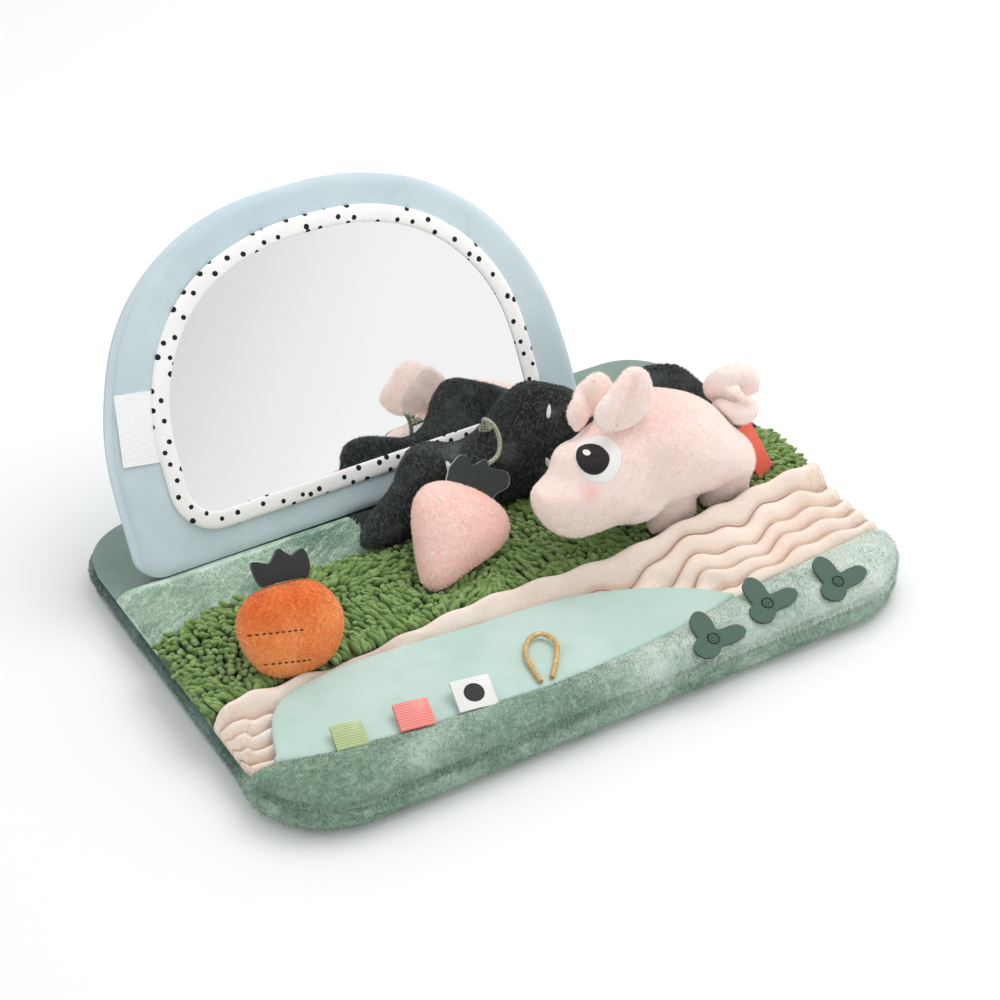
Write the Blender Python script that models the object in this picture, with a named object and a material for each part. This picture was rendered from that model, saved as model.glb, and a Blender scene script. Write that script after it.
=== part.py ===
"""Soft activity book: a padded play mat, a leaning mirror page and three stuffed toys."""
import math
import random

import bmesh
import bpy
from mathutils import Matrix, Vector

# Clearances shared by every piece
FIT = 0.0003
OVERRUN = 0.004

# Play mat: foam board in a twill tray, with plush pads sewn on top
MAT_LENGTH = 0.380
MAT_DEPTH = 0.262
FRONT_CORNER = 0.045
REAR_CORNER = 0.036
TWILL = 0.0016
RIM_HEIGHT = 0.006
CORE_THICKNESS = 0.0145
BAND_THICKNESS = 0.006
PLUSH_THICKNESS = 0.0103
PLUSH_ROUND = 0.010
PLUSH_SIDE = 0.0025

CORE_BOTTOM = TWILL + FIT
CORE_TOP = CORE_BOTTOM + CORE_THICKNESS
PAD_BOTTOM = CORE_TOP + FIT
FIELD_TOP = PAD_BOTTOM + PLUSH_THICKNESS
TWILL_TOP = PAD_BOTTOM + TWILL

# Seam lines on the mat, as shares of its length and of its depth
BORDER_SEAM_SHARES = (
    (-0.50, -0.360), (-0.40, -0.405), (-0.24, -0.432), (-0.06, -0.449),
    (0.12, -0.432), (0.25, -0.402), (0.40, -0.382), (0.50, -0.370),
)
PATH_EDGE_SHARES = (
    (-0.50, -0.190), (-0.40, -0.176), (-0.30, -0.174), (-0.06, -0.168),
    (0.06, -0.180), (0.16, -0.196), (0.24, -0.192), (0.34, -0.168), (0.50, -0.130),
)
GRASS_EDGE_SHARES = (
    (-0.50, 0.065), (-0.38, 0.092), (-0.24, 0.110), (0.10, 0.110), (0.30, 0.090), (0.50, 0.045),
)
POND_EDGE_SHARES = (
    (-0.47, -0.385), (-0.455, -0.310), (-0.435, -0.250), (-0.405, -0.212), (-0.36, -0.194),
    (-0.30, -0.188), (-0.24, -0.194), (-0.12, -0.212), (0.00, -0.228), (0.08, -0.258),
    (0.16, -0.318), (0.198, -0.362), (0.2175, -0.395),
)
FIELD_REAR_SHARES = (
    (-0.50, 0.267), (0.27, 0.267), (0.33, 0.330), (0.40, 0.400), (0.50, 0.400),
)
FIELD_CORNER = 0.024
FIELD_ROW_SHARES = (0.0, 0.25, 0.55, 0.72, 0.85, 0.93, 0.98, 1.0)
PATCH_SPLIT_SHARE = -0.145

# Stations at which the pads are shaped
MIDDLE_COLUMNS = 12
END_COLUMN_SHARES = (0.0, 0.28, 0.54, 0.78, 0.90, 0.97, 1.0)

# Front border roll
BORDER_BULGE = 0.004
BORDER_RISE = 0.0145
BORDER_SEAM_DROP = 0.003

# Ribbed path and the pond flap that lies on it
PATH_RISE = 0.0130
RIB_HEIGHT = 0.0030
RIB_COUNT = 5
RIB_STEPS = 4
RIB_WAVE_LENGTH = 0.066
RIB_WAVE_SHARE = 0.055
POND_SINK = 0.0045
POND_BLEND = 0.010
POND_THICKNESS = 0.0024
POND_CROWN = 0.0016

# Grass of thick pile strands
GRASS_BASE = 0.0078
STRAND_LENGTH = 0.0085
STRAND_INSET = 0.0012
STRAND_LEAN = 0.0022
STRAND_TAPER_SHARE = 0.72
GRASS_ROWS = 8

# Mirror page
PAGE_WIDTH = 0.276
PAGE_HEIGHT = 0.181
PAGE_THICKNESS = 0.018
PAGE_STRAIGHT = 0.037
PAGE_CORNER = 0.012
PAGE_EXPONENT = 2.32
PAGE_LEAN = math.radians(27.8)
PAGE_PLACE_SHARES = (-0.095, 0.2355)
COVER_CLOTH = 0.0014
ARCH_STEPS = 30
ARCH_CORNER_STEPS = 4
FRAME_WIDTH = 0.2277
FRAME_HEIGHT = 0.1479
FRAME_STRAIGHT = 0.040
FRAME_CORNER = 0.0256
FRAME_EXPONENT = 2.3
FRAME_RAISE = 0.016
BINDING_WIDTH = 0.0125
BINDING_THICKNESS = 0.0026
MIRROR_THICKNESS = 0.0012
MIRROR_TUCK = 0.0045
LABEL_WIDTH = 0.018
LABEL_HEIGHT = 0.038
LABEL_RAISE = 0.0615
LABEL_THICKNESS = 0.0006
LABEL_TURN = math.radians(-8.5)
LABEL_MARGIN = 0.0062

# Support flap behind the page
FLAP_WIDTH = 0.120
FLAP_THICKNESS = 0.0036
FLAP_HINGE_RAISE = 0.112
FLAP_TUCK = 0.010
FLAP_TOE = 0.014
FLAP_TOE_THICKNESS = 0.003
GRIP_THICKNESS = 0.0012
GRIP_LENGTH = 0.100

# Tags and the gold loop, sewn into the seam between the pond flap and the border
TAG_PLACES_SHARES = (-0.377, -0.288, -0.2026)
TAG_WIDTHS = (0.0158, 0.0178, 0.0200)
TAG_REACHES = (0.0135, 0.0150, 0.0172)
TAG_TUCK = 0.0040
TAG_CLOTH = 0.0007
TAG_FOLD_HEIGHT = 0.0026
TAG_TURN = math.radians(-11)
TAG_RISE = math.radians(20)
LOOP_PLACE_SHARE = -0.0994
LOOP_CORD = 0.0028
LOOP_REACH = 0.0320
LOOP_ROUTE_SHARES = (
    (-0.100, 0.013, 0.000), (-0.073, 0.233, 0.016), (-0.036, 0.498, 0.041), (0.021, 0.661, 0.053),
    (0.141, 0.831, 0.069), (0.287, 0.935, 0.075), (0.476, 0.930, 0.075), (0.562, 0.761, 0.069),
    (0.551, 0.597, 0.059), (0.462, 0.438, 0.047), (0.280, 0.206, 0.022), (0.100, 0.013, 0.000),
)

# Leaves on the border
LEAF_PLACES_SHARES = ((0.1375, -0.496), (0.2395, -0.470), (0.354, -0.482))
LEAF_TURNS = (0.0, math.radians(5), math.radians(7))
LEAF_SIZE = 0.0188
LEAF_THICKNESS = 0.0016
LEAF_TILT = math.radians(20)
LEAF_OUTLINE_SHARES = (
    (-0.40, 0.17), (-0.37, 0.585), (-0.265, 0.81), (-0.05, 0.935), (0.13, 0.905), (0.255, 0.72),
    (0.275, 0.48), (0.265, 0.225), (0.56, 0.185), (0.85, 0.15), (1.00, 0.00), (0.99, -0.16),
    (0.815, -0.275), (0.52, -0.33), (0.24, -0.31), (0.08, -0.32), (-0.04, -0.425), (-0.24, -0.51),
    (-0.435, -0.49), (-0.61, -0.37), (-0.69, -0.19), (-0.65, -0.02), (-0.53, 0.12),
)

# Stuffed bush behind the toys
BUSH_WIDTH = 0.170
BUSH_HEIGHT = 0.068
BUSH_HALF_THICKNESS = 0.0165
BUSH_LEAN = math.radians(8)
BUSH_OUTLINE_SHARES = (
    (-0.400, 0.020), (-0.388, 0.12), (-0.340, 0.28), (-0.275, 0.39), (-0.232, 0.58), (-0.200, 0.71),
    (-0.158, 0.760), (-0.104, 0.735), (-0.046, 0.650), (0.010, 0.632), (0.070, 0.655),
    (0.150, 0.76), (0.196, 0.90), (0.245, 0.995), (0.298, 0.990), (0.371, 0.90), (0.456, 0.765),
    (0.530, 0.56), (0.585, 0.30), (0.600, 0.05), (0.560, 0.0), (0.10, 0.0), (-0.34, 0.0),
)
KNOT_PLACE_SHARES = (0.098, 0.700)
KNOT_RADIUS = 0.0034

# Carrot
CARROT_WIDTH = 0.0560
CARROT_HEIGHT = 0.0480
CARROT_HALF_THICKNESS = 0.0165
CARROT_LEAN = math.radians(35)
CARROT_PLACE_SHARES = (-0.358, -0.161)
CARROT_RAISE = 0.0024
CARROT_CENTRE_SHARE = 0.42
CARROT_REACH = 0.0200
CARROT_OUTLINE_SHARES = (
    (0.06, -0.475), (0.23, -0.440), (0.35, -0.350), (0.44, -0.22), (0.49, -0.08), (0.505, 0.06),
    (0.46, 0.225), (0.38, 0.365), (0.26, 0.455), (0.07, 0.490), (-0.175, 0.505), (-0.325, 0.450),
    (-0.43, 0.345), (-0.487, 0.215), (-0.495, 0.00), (-0.455, -0.18), (-0.40, -0.32), (-0.30, -0.42),
    (-0.12, -0.470),
)
CROWN_WIDTH = 0.0300
CROWN_HEIGHT = 0.0200
CROWN_THICKNESS = 0.0034
CROWN_PLACE_SHARES = (0.080, 0.855)
CROWN_OUTLINE_SHARES = (
    (-0.463, 0.26), (-0.50, 0.58), (-0.463, 0.85), (-0.21, 0.685), (-0.103, 0.76), (0.037, 0.955),
    (0.123, 0.825), (0.233, 0.68), (0.333, 0.74), (0.457, 0.76), (0.50, 0.51), (0.47, 0.22),
    (0.38, 0.02), (0.20, -0.30), (-0.20, -0.30), (-0.357, 0.045),
)

# Strawberry on its elastic cord
BERRY_WIDTH = 0.060
BERRY_HEIGHT = 0.056
BERRY_HALF_THICKNESS = 0.0145
BERRY_LEAN = math.radians(40)
BERRY_PLACE_SHARES = (-0.0653, -0.0145)
BERRY_RAISE = 0.0026
BERRY_SHADOW_SHARE = 0.46
BERRY_OUTLINE_SHARES = (
    (-0.385, -0.500), (-0.260, -0.490), (0.000, -0.415), (0.255, -0.345), (0.440, -0.235),
    (0.508, -0.070), (0.450, 0.120), (0.262, 0.330), (0.050, 0.475), (-0.145, 0.500),
    (-0.295, 0.405), (-0.385, 0.200), (-0.455, -0.110), (-0.492, -0.345), (-0.465, -0.450),
)
CALYX_SIZE = 0.0245
CALYX_THICKNESS = 0.0016
CALYX_OUTLINE_SHARES = (
    (-0.69, -0.14), (-0.56, 0.27), (-0.37, 0.42), (-0.16, 0.51), (-0.02, 0.42), (0.03, 0.22),
    (0.37, 0.25), (0.41, 0.04), (0.76, -0.18), (0.68, -0.47), (0.34, -0.55), (0.00, -0.71),
)
CALYX_PLACE_SHARES = (0.330, 0.420)
CORD_DIAMETER = 0.0028
CORD_LOOP = 0.0100
CORD_BEND_SHARES = (
    (0.01, -0.05, 0.40), (0.10, -0.10, 0.80), (0.22, 0.06, 1.02), (0.38, 0.46, 0.90), (0.56, 0.74, 0.56),
    (0.71, 0.80, 0.20), (0.83, 0.66, -0.02), (0.93, 0.36, -0.06), (1.00, 0.00, 0.00),
)
CORD_STEPS = 3
CALYX_CORD_SHARES = (0.39, 0.14)

# Pig
PIG_LENGTH = 0.152
PIG_HEIGHT = 0.090
PIG_LEAN = math.radians(12)
PIG_TURN = math.radians(8)
PIG_PLACE_SHARES = (0.263, -0.137)
PIG_RAISE = 0.0020
PIG_BODY_HALF_THICKNESS = 0.0225
PIG_HEAD_HALF_THICKNESS = 0.0200
PIG_LEG_HALF_THICKNESS = 0.0105
PIG_EAR_HALF_THICKNESS = 0.0042
PIG_BODY_SHARES = (
    (-0.295, 0.25), (-0.185, 0.14), (0.055, 0.15), (0.260, 0.12), (0.345, 0.14), (0.348, 0.26),
    (0.318, 0.37), (0.248, 0.500), (0.161, 0.690), (0.043, 0.835), (-0.103, 0.950),
    (-0.220, 0.955), (-0.300, 0.86), (-0.335, 0.60), (-0.330, 0.38),
)
PIG_HEAD_SHARES = (
    (-0.650, 0.500), (-0.612, 0.365), (-0.555, 0.262), (-0.485, 0.208), (-0.300, 0.150),
    (-0.170, 0.20), (-0.120, 0.50), (-0.150, 0.80), (-0.240, 0.915), (-0.330, 0.868),
    (-0.450, 0.755), (-0.570, 0.648), (-0.642, 0.600),
)
PIG_LEG_SHARES = (
    (-0.48, -0.02), (-0.46, 0.30), (-0.44, 0.70), (-0.30, 0.98), (0.30, 0.98), (0.44, 0.70),
    (0.47, 0.30), (0.48, -0.02), (0.28, -0.02), (-0.28, -0.02),
)
PIG_LEG_PLACES_SHARES = (-0.065, 0.208)
PIG_LEG_WIDTH = 0.0350
PIG_LEG_HEIGHT = 0.0340
PIG_FOOT_DROP = 0.0026
PIG_EAR_WIDTHS = (0.0390, 0.0340)
PIG_EAR_HEIGHTS = (0.0290, 0.0270)
PIG_EAR_SHARES = (
    (-0.35, -0.06), (-0.16, -0.14), (0.01, -0.18), (0.27, -0.16), (0.42, -0.02), (0.49, 0.18),
    (0.50, 0.40), (0.454, 0.61), (0.40, 0.80), (0.277, 0.960), (0.115, 0.990), (-0.036, 0.91),
    (-0.27, 0.69), (-0.46, 0.53), (-0.505, 0.345), (-0.455, 0.12),
)
PIG_EAR_PLACES_SHARES = ((-0.296, -0.092, 0.885), (-0.296, 0.062, 0.790))
PIG_EAR_TILTS = (math.radians(10), math.radians(-8))
TAIL_RADIUS = 0.0058
TAIL_TIP_SHARE = 0.80
TAIL_SIDES = 8
TAIL_ROUTE_SHARES = (
    (0.200, 0.000, 0.598), (0.241, -0.020, 0.547), (0.297, -0.030, 0.513), (0.353, 0.000, 0.502),
    (0.352, 0.052, 0.541), (0.286, 0.076, 0.616), (0.229, 0.036, 0.715), (0.236, -0.012, 0.783),
    (0.290, -0.040, 0.783), (0.333, -0.048, 0.722), (0.322, -0.044, 0.664),
)
SIDE_TAG_LENGTH = 0.0385
SIDE_TAG_WIDTH = 0.0110
SIDE_TAG_THICKNESS = 0.0008
SIDE_TAG_PLACE_SHARES = (0.357, 0.212)
SIDE_TAG_TURN = math.radians(23)


def clear_scene():
    for item in list(bpy.data.objects):
        bpy.data.objects.remove(item, do_unlink=True)


def finish(name, color, roughness, metallic=0.0):
    """A plain finish that one piece carries."""
    made = bpy.data.materials.new(name + "_finish")
    made.use_nodes = True
    shader = made.node_tree.nodes["Principled BSDF"]
    shader.inputs["Base Color"].default_value = (*color, 1.0)
    shader.inputs["Roughness"].default_value = roughness
    shader.inputs["Metallic"].default_value = metallic
    return made


def add_piece(name, mesh_data, made, parent=None):
    """Turn a finished bmesh into a named object with smooth shading."""
    bmesh.ops.recalc_face_normals(mesh_data, faces=mesh_data.faces[:])
    mesh = bpy.data.meshes.new(name)
    mesh_data.to_mesh(mesh)
    mesh_data.free()
    piece = bpy.data.objects.new(name, mesh)
    bpy.context.scene.collection.objects.link(piece)
    if made is not None:
        mesh.materials.append(made)
    mesh.shade_smooth()
    mesh.set_sharp_from_angle(angle=math.radians(40))
    piece.parent = parent
    return piece


def add_frame(name, place, turn=(0.0, 0.0, 0.0), parent=None):
    """An empty that carries a group of pieces."""
    frame = bpy.data.objects.new(name, None)
    frame.location = place
    frame.rotation_euler = turn
    frame.parent = parent
    bpy.context.scene.collection.objects.link(frame)
    return frame


def carve(piece, *cutters):
    """Cut hidden clearance bodies out of a piece."""
    for cutter in cutters:
        cutter.hide_render = True
        cutter.display_type = "WIRE"
        cut = piece.modifiers.new("carve_" + cutter.name, "BOOLEAN")
        cut.operation = "DIFFERENCE"
        cut.solver = "EXACT"
        cut.object = cutter


def smooth_value(shares, at):
    """Read a smooth curve through hand-set shares at one place."""
    count = len(shares)
    if at <= shares[0][0]:
        return shares[0][1]
    if at >= shares[-1][0]:
        return shares[-1][1]
    slot = max(i for i in range(count - 1) if shares[i][0] <= at)

    def slope(i):
        low, high = max(i - 1, 0), min(i + 1, count - 1)
        return (shares[high][1] - shares[low][1]) / (shares[high][0] - shares[low][0])

    span = shares[slot + 1][0] - shares[slot][0]
    t = (at - shares[slot][0]) / span
    rise = shares[slot + 1][1] - shares[slot][1]
    start, end = slope(slot) * span, slope(slot + 1) * span
    return (shares[slot][1] + start * t + (3 * rise - 2 * start - end) * t ** 2
            + (start + end - 2 * rise) * t ** 3)


def smooth_loop(points, count):
    """Closed smooth curve through the points, sampled evenly in its own parameter."""
    total = len(points)
    loop = []
    for step in range(count):
        place = step * total / count
        i = int(place)
        t = place - i
        a, b, c, d = (Vector(points[(i + k) % total]) for k in (-1, 0, 1, 2))
        loop.append(0.5 * (2 * b + (c - a) * t + (2 * a - 5 * b + 4 * c - d) * t ** 2
                           + (3 * b - a - 3 * c + d) * t ** 3))
    return loop


def smooth_route(points, steps):
    """Open smooth curve through the points."""
    ends = [Vector(points[0])] + [Vector(p) for p in points] + [Vector(points[-1])]
    route = []
    for i in range(1, len(ends) - 2):
        a, b, c, d = ends[i - 1:i + 3]
        for step in range(steps):
            t = step / steps
            route.append(0.5 * (2 * b + (c - a) * t + (2 * a - 5 * b + 4 * c - d) * t ** 2
                                + (3 * b - a - 3 * c + d) * t ** 3))
    route.append(ends[-1])
    return route


def ease(t):
    t = min(max(t, 0.0), 1.0)
    return t * t * (3 - 2 * t)


def round_over(distance, radius):
    """Height share of a rounded edge at a distance in from it."""
    t = min(max(distance / radius, 0.0), 1.0)
    return math.sqrt(1 - (1 - t) ** 2)


def bridge(mesh_data, rings, closed=False):
    """Join rings of equal count with quads."""
    pairs = list(zip(rings, rings[1:]))
    if closed:
        pairs.append((rings[-1], rings[0]))
    for low, high in pairs:
        for i in range(len(low)):
            j = (i + 1) % len(low)
            mesh_data.faces.new((low[i], low[j], high[j], high[i]))


def stack(name, loops, made, parent=None, closed=False):
    """Solid through a stack of point loops, capped at both ends unless it closes on itself."""
    mesh_data = bmesh.new()
    rings = [[mesh_data.verts.new(point) for point in loop] for loop in loops]
    bridge(mesh_data, rings, closed)
    if not closed:
        mesh_data.faces.new(rings[0])
        mesh_data.faces.new(rings[-1])
    return add_piece(name, mesh_data, made, parent)


# The mat

def mat_loop(inset, height, corner_steps=6):
    """Rounded outline of the mat at one height."""
    loop = []
    half_x, half_y = MAT_LENGTH / 2 - inset, MAT_DEPTH / 2 - inset
    corners = ((1, -1, FRONT_CORNER), (1, 1, REAR_CORNER), (-1, 1, REAR_CORNER), (-1, -1, FRONT_CORNER))
    for turn, (side, end, radius) in enumerate(corners):
        radius -= inset
        for step in range(corner_steps + 1):
            angle = math.radians(-90) + math.radians(90) * (turn + step / corner_steps)
            loop.append(Vector((side * (half_x - radius) + radius * math.cos(angle),
                                end * (half_y - radius) + radius * math.sin(angle), height)))
    return loop


def outline_y(x, end, corner, bulge=0.0):
    """Mat outline's y at a place along its length, in front (-1) or behind (1)."""
    radius = corner + bulge
    over = abs(x) - (MAT_LENGTH / 2 - corner)
    reach = MAT_DEPTH / 2 + bulge
    if over > 0:
        reach -= radius - math.sqrt(max(radius ** 2 - over ** 2, 0.0))
    return end * reach


def front_y(x):
    return outline_y(x, -1, FRONT_CORNER)


def rear_y(x):
    return outline_y(x, 1, REAR_CORNER)


def side_distance(x, y, bulge=0.0):
    """Distance in from the mat's outline."""
    corner = (FRONT_CORNER if y < 0 else REAR_CORNER) + bulge
    out_x = abs(x) - (MAT_LENGTH / 2 + bulge - corner)
    out_y = abs(y) - (MAT_DEPTH / 2 + bulge - corner)
    outside = math.hypot(max(out_x, 0.0), max(out_y, 0.0)) + min(max(out_x, out_y), 0.0)
    return corner - outside


def seam(shares, x):
    return MAT_DEPTH * smooth_value(shares, x / MAT_LENGTH)


def border_seam(x):
    return seam(BORDER_SEAM_SHARES, x)


def path_edge(x):
    return seam(PATH_EDGE_SHARES, x)


def grass_edge(x):
    return seam(GRASS_EDGE_SHARES, x)


def pond_edge(x):
    return seam(POND_EDGE_SHARES, x)


def field_rear(x):
    """Rear edge of the plush field, rounded at the right-hand corner."""
    reach = seam(FIELD_REAR_SHARES, x)
    over = x - (MAT_LENGTH / 2 - FIELD_CORNER)
    if over > 0:
        reach -= FIELD_CORNER - math.sqrt(max(FIELD_CORNER ** 2 - over ** 2, 0.0))
    return reach


def mat_columns(low, high):
    """Stations shared by all the pads, so that neighbouring seams run side by side."""
    inner = MAT_LENGTH / 2 - FRONT_CORNER
    ends = [inner + FRONT_CORNER * share for share in END_COLUMN_SHARES]
    middle = [inner * i / MIDDLE_COLUMNS for i in range(1 - MIDDLE_COLUMNS, MIDDLE_COLUMNS)]
    every = sorted([-x for x in ends] + middle + ends)
    margin = OVERRUN / 4
    return [low] + [x for x in every if low + margin < x < high - margin] + [high]


def pad_mesh(stations, row_shares, front, back, top, base=PAD_BOTTOM):
    """Grid pad with a shaped top, upright sides and a flat underside."""
    mesh_data = bmesh.new()
    grid, under = [], []
    for x in stations:
        low, high = front(x), back(x)
        grid.append([])
        for share in row_shares:
            y = low + (high - low) * share
            grid[-1].append(mesh_data.verts.new((x, y, top(x, y))))
        under.append((mesh_data.verts.new((x, low, base)), mesh_data.verts.new((x, high, base))))
    cells = []
    for i in range(len(stations) - 1):
        for j in range(len(row_shares) - 1):
            cell = (grid[i][j], grid[i + 1][j], grid[i + 1][j + 1], grid[i][j + 1])
            cells.append(mesh_data.faces.new(cell))
        mesh_data.faces.new((under[i][0], under[i + 1][0], grid[i + 1][0], grid[i][0]))
        mesh_data.faces.new((grid[i][-1], grid[i + 1][-1], under[i + 1][1], under[i][1]))
    mesh_data.faces.new([under[0][0]] + grid[0] + [under[0][1]])
    mesh_data.faces.new([under[-1][1]] + grid[-1][::-1] + [under[-1][0]])
    mesh_data.faces.new([pair[0] for pair in under] + [pair[1] for pair in reversed(under)])
    return mesh_data, cells


def even_shares(count):
    return [i / count for i in range(count + 1)]


def round_shares(count):
    """Row shares that crowd towards both edges."""
    return [(1 - math.cos(math.pi * i / count)) / 2 for i in range(count + 1)]


def make_tray():
    loops = (mat_loop(TWILL, 0.0), mat_loop(0.0, TWILL), mat_loop(0.0, RIM_HEIGHT),
             mat_loop(TWILL, RIM_HEIGHT), mat_loop(TWILL, TWILL))
    stack("base_tray", loops, finish("base_tray", (0.13, 0.19, 0.16), 0.85))


def make_core():
    inset = BAND_THICKNESS + FIT
    loops = (mat_loop(inset, CORE_BOTTOM), mat_loop(inset, CORE_TOP))
    stack("base_core", loops, finish("base_core", (0.80, 0.80, 0.76), 0.95))


def make_side_band():
    low, high = RIM_HEIGHT + FIT, CORE_TOP
    loops = (mat_loop(0.0, low), mat_loop(0.0, high),
             mat_loop(BAND_THICKNESS, high), mat_loop(BAND_THICKNESS, low))
    stack("side_band", loops, finish("side_band", (0.25, 0.38, 0.30), 0.95), closed=True)


def rear_span():
    """How far the rear cover reaches each way before the outline closes on the field."""
    reach = MAT_LENGTH / 2
    while rear_y(reach) - field_rear(reach) < OVERRUN:
        reach -= FIT
    return reach


def make_rear_cover():
    reach = rear_span()
    stations = mat_columns(-reach, reach)
    mesh_data, _ = pad_mesh(stations, even_shares(2), lambda x: field_rear(x) + FIT, rear_y,
                            lambda x, y: TWILL_TOP)
    add_piece("rear_cover", mesh_data, finish("rear_cover", (0.13, 0.20, 0.17), 0.8))


def border_top(x, y):
    """Roll that is round in front and dips at its rear seam."""
    rise = BORDER_RISE - PLUSH_SIDE
    front = round_over(side_distance(x, y, BORDER_BULGE), BORDER_RISE + BORDER_BULGE)
    back = round_over(border_seam(x) - y, PLUSH_ROUND)
    return PAD_BOTTOM + PLUSH_SIDE + rise * front - BORDER_SEAM_DROP * (1 - back)


def border_span():
    reach = MAT_LENGTH / 2 + BORDER_BULGE
    while border_seam(reach) - outline_y(reach, -1, FRONT_CORNER, BORDER_BULGE) < OVERRUN:
        reach -= FIT
    return reach


def make_border():
    reach = border_span()
    stations = mat_columns(-reach, reach)
    mesh_data, _ = pad_mesh(stations, round_shares(8),
                            lambda x: outline_y(x, -1, FRONT_CORNER, BORDER_BULGE),
                            lambda x: border_seam(x), border_top)
    add_piece("front_border", mesh_data, finish("front_border", (0.29, 0.44, 0.35), 0.95))


def pond_span():
    return MAT_LENGTH * POND_EDGE_SHARES[0][0], MAT_LENGTH * POND_EDGE_SHARES[-1][0]


def pond_sink(x, y):
    """How deeply the path is pressed in under the pond flap, from 0 to 1."""
    left, right = pond_span()
    blend = POND_BLEND
    across = ease((x - left + 2 * blend) / blend) * ease((right + 2 * blend - x) / blend)
    reach = max([pond_edge(x + side * blend) for side in (-1, 0, 1)] + [border_seam(x) + 2 * OVERRUN])
    return across * ease((reach + blend - y) / blend)


def path_crest(x, y):
    """Level of the rib tops of the path."""
    return PAD_BOTTOM + PATH_RISE - POND_SINK * pond_sink(x, y)


def path_front(x):
    return max(border_seam(x) + FIT, front_y(x))


def path_top(x, y):
    depth = path_edge(x) - path_front(x)
    along = (path_edge(x) - y) / depth
    along += RIB_WAVE_SHARE * math.sin(math.tau * x / RIB_WAVE_LENGTH) * math.sin(math.pi * along)
    rib = math.sqrt(abs(math.sin(math.pi * RIB_COUNT * along)))
    crest = path_crest(x, y) - RIB_HEIGHT * (1 - rib)
    side = PAD_BOTTOM + PLUSH_SIDE
    return side + (crest - side) * round_over(side_distance(x, y) + FIT, PLUSH_ROUND)


def make_path():
    half = MAT_LENGTH / 2
    stations = mat_columns(-half, half)
    mesh_data, _ = pad_mesh(stations, even_shares(RIB_COUNT * RIB_STEPS), path_front,
                            lambda x: path_edge(x) - FIT, path_top)
    add_piece("path_pad", mesh_data, finish("path_pad", (0.76, 0.60, 0.48), 0.95))


def pond_low(x, y):
    return path_crest(x, y) + FIT


def make_pond():
    """Padded cotton flap with a curved free edge, sewn in along its front."""
    left, right = pond_span()
    stations = mat_columns(left, right)
    shares = round_shares(6)
    origin = pond_hinge_place()
    mesh_data = bmesh.new()
    upper, lower = [], []
    for x in stations:
        near = border_seam(x) + FIT
        far = max(pond_edge(x), near + OVERRUN)
        upper.append([])
        lower.append([])
        for share in shares:
            y = near + (far - near) * share
            bed = pond_low(x, y)
            crown = POND_CROWN * round_over(min(share, 1 - share), 0.5)
            upper[-1].append(mesh_data.verts.new(Vector((x, y, bed + POND_THICKNESS + crown)) - origin))
            lower[-1].append(mesh_data.verts.new(Vector((x, y, bed)) - origin))
    for sheet in (upper, lower):
        for i in range(len(stations) - 1):
            for j in range(len(shares) - 1):
                mesh_data.faces.new((sheet[i][j], sheet[i + 1][j], sheet[i + 1][j + 1], sheet[i][j + 1]))
    rims = [[(i, 0) for i in range(len(stations))], [(i, -1) for i in range(len(stations))],
            [(0, j) for j in range(len(shares))], [(-1, j) for j in range(len(shares))]]
    for rim in rims:
        for (i, j), (m, n) in zip(rim, rim[1:]):
            mesh_data.faces.new((upper[i][j], upper[m][n], lower[m][n], lower[i][j]))
    return add_piece("pond_flap", mesh_data, finish("pond_flap", (0.52, 0.66, 0.60), 0.8), pond_hinge())


def pond_hinge_place():
    """The flap turns about the foremost stretch of its seam."""
    left, right = pond_span()
    near = min(border_seam(x) for x in mat_columns(left, right))
    return Vector((0.0, near, path_crest(0.0, near) + FIT + POND_THICKNESS))


def pond_hinge():
    found = bpy.data.objects.get("pond_hinge")
    return found or add_frame("pond_hinge", pond_hinge_place())


def in_toy_shadow(x, y):
    """Places on the grass where something stands, so no strand grows there."""
    if side_distance(x, y) < PLUSH_ROUND * 0.7:
        return True
    carrot_x, carrot_y = MAT_LENGTH * CARROT_PLACE_SHARES[0], MAT_DEPTH * CARROT_PLACE_SHARES[1]
    if abs(x - carrot_x) < CARROT_WIDTH / 2 + OVERRUN and y < carrot_y + CARROT_REACH:
        return True
    berry_x, berry_y = MAT_LENGTH * BERRY_PLACE_SHARES[0], MAT_DEPTH * BERRY_PLACE_SHARES[1]
    if abs(x - berry_x) < BERRY_WIDTH / 2 + OVERRUN and y > berry_y - BERRY_HEIGHT * BERRY_SHADOW_SHARE:
        return True
    bush_y = grass_edge(x) - BUSH_HALF_THICKNESS - OVERRUN
    if abs(x - BUSH_WIDTH * 0.1) < BUSH_WIDTH / 2 + OVERRUN and y > bush_y:
        return True
    pig_x, pig_y = MAT_LENGTH * PIG_PLACE_SHARES[0], MAT_DEPTH * PIG_PLACE_SHARES[1]
    along = x - pig_x
    across = y - pig_y - math.tan(PIG_TURN) * along
    near_legs = -PIG_LENGTH * 0.22 < along < PIG_LENGTH * 0.45
    return near_legs and abs(across) < PIG_LEG_HALF_THICKNESS + OVERRUN * 1.5


def grass_top(x, y):
    side = PAD_BOTTOM + PLUSH_SIDE
    rise = GRASS_BASE - PLUSH_SIDE
    return side + rise * round_over(side_distance(x, y) + FIT, PLUSH_ROUND)


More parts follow.
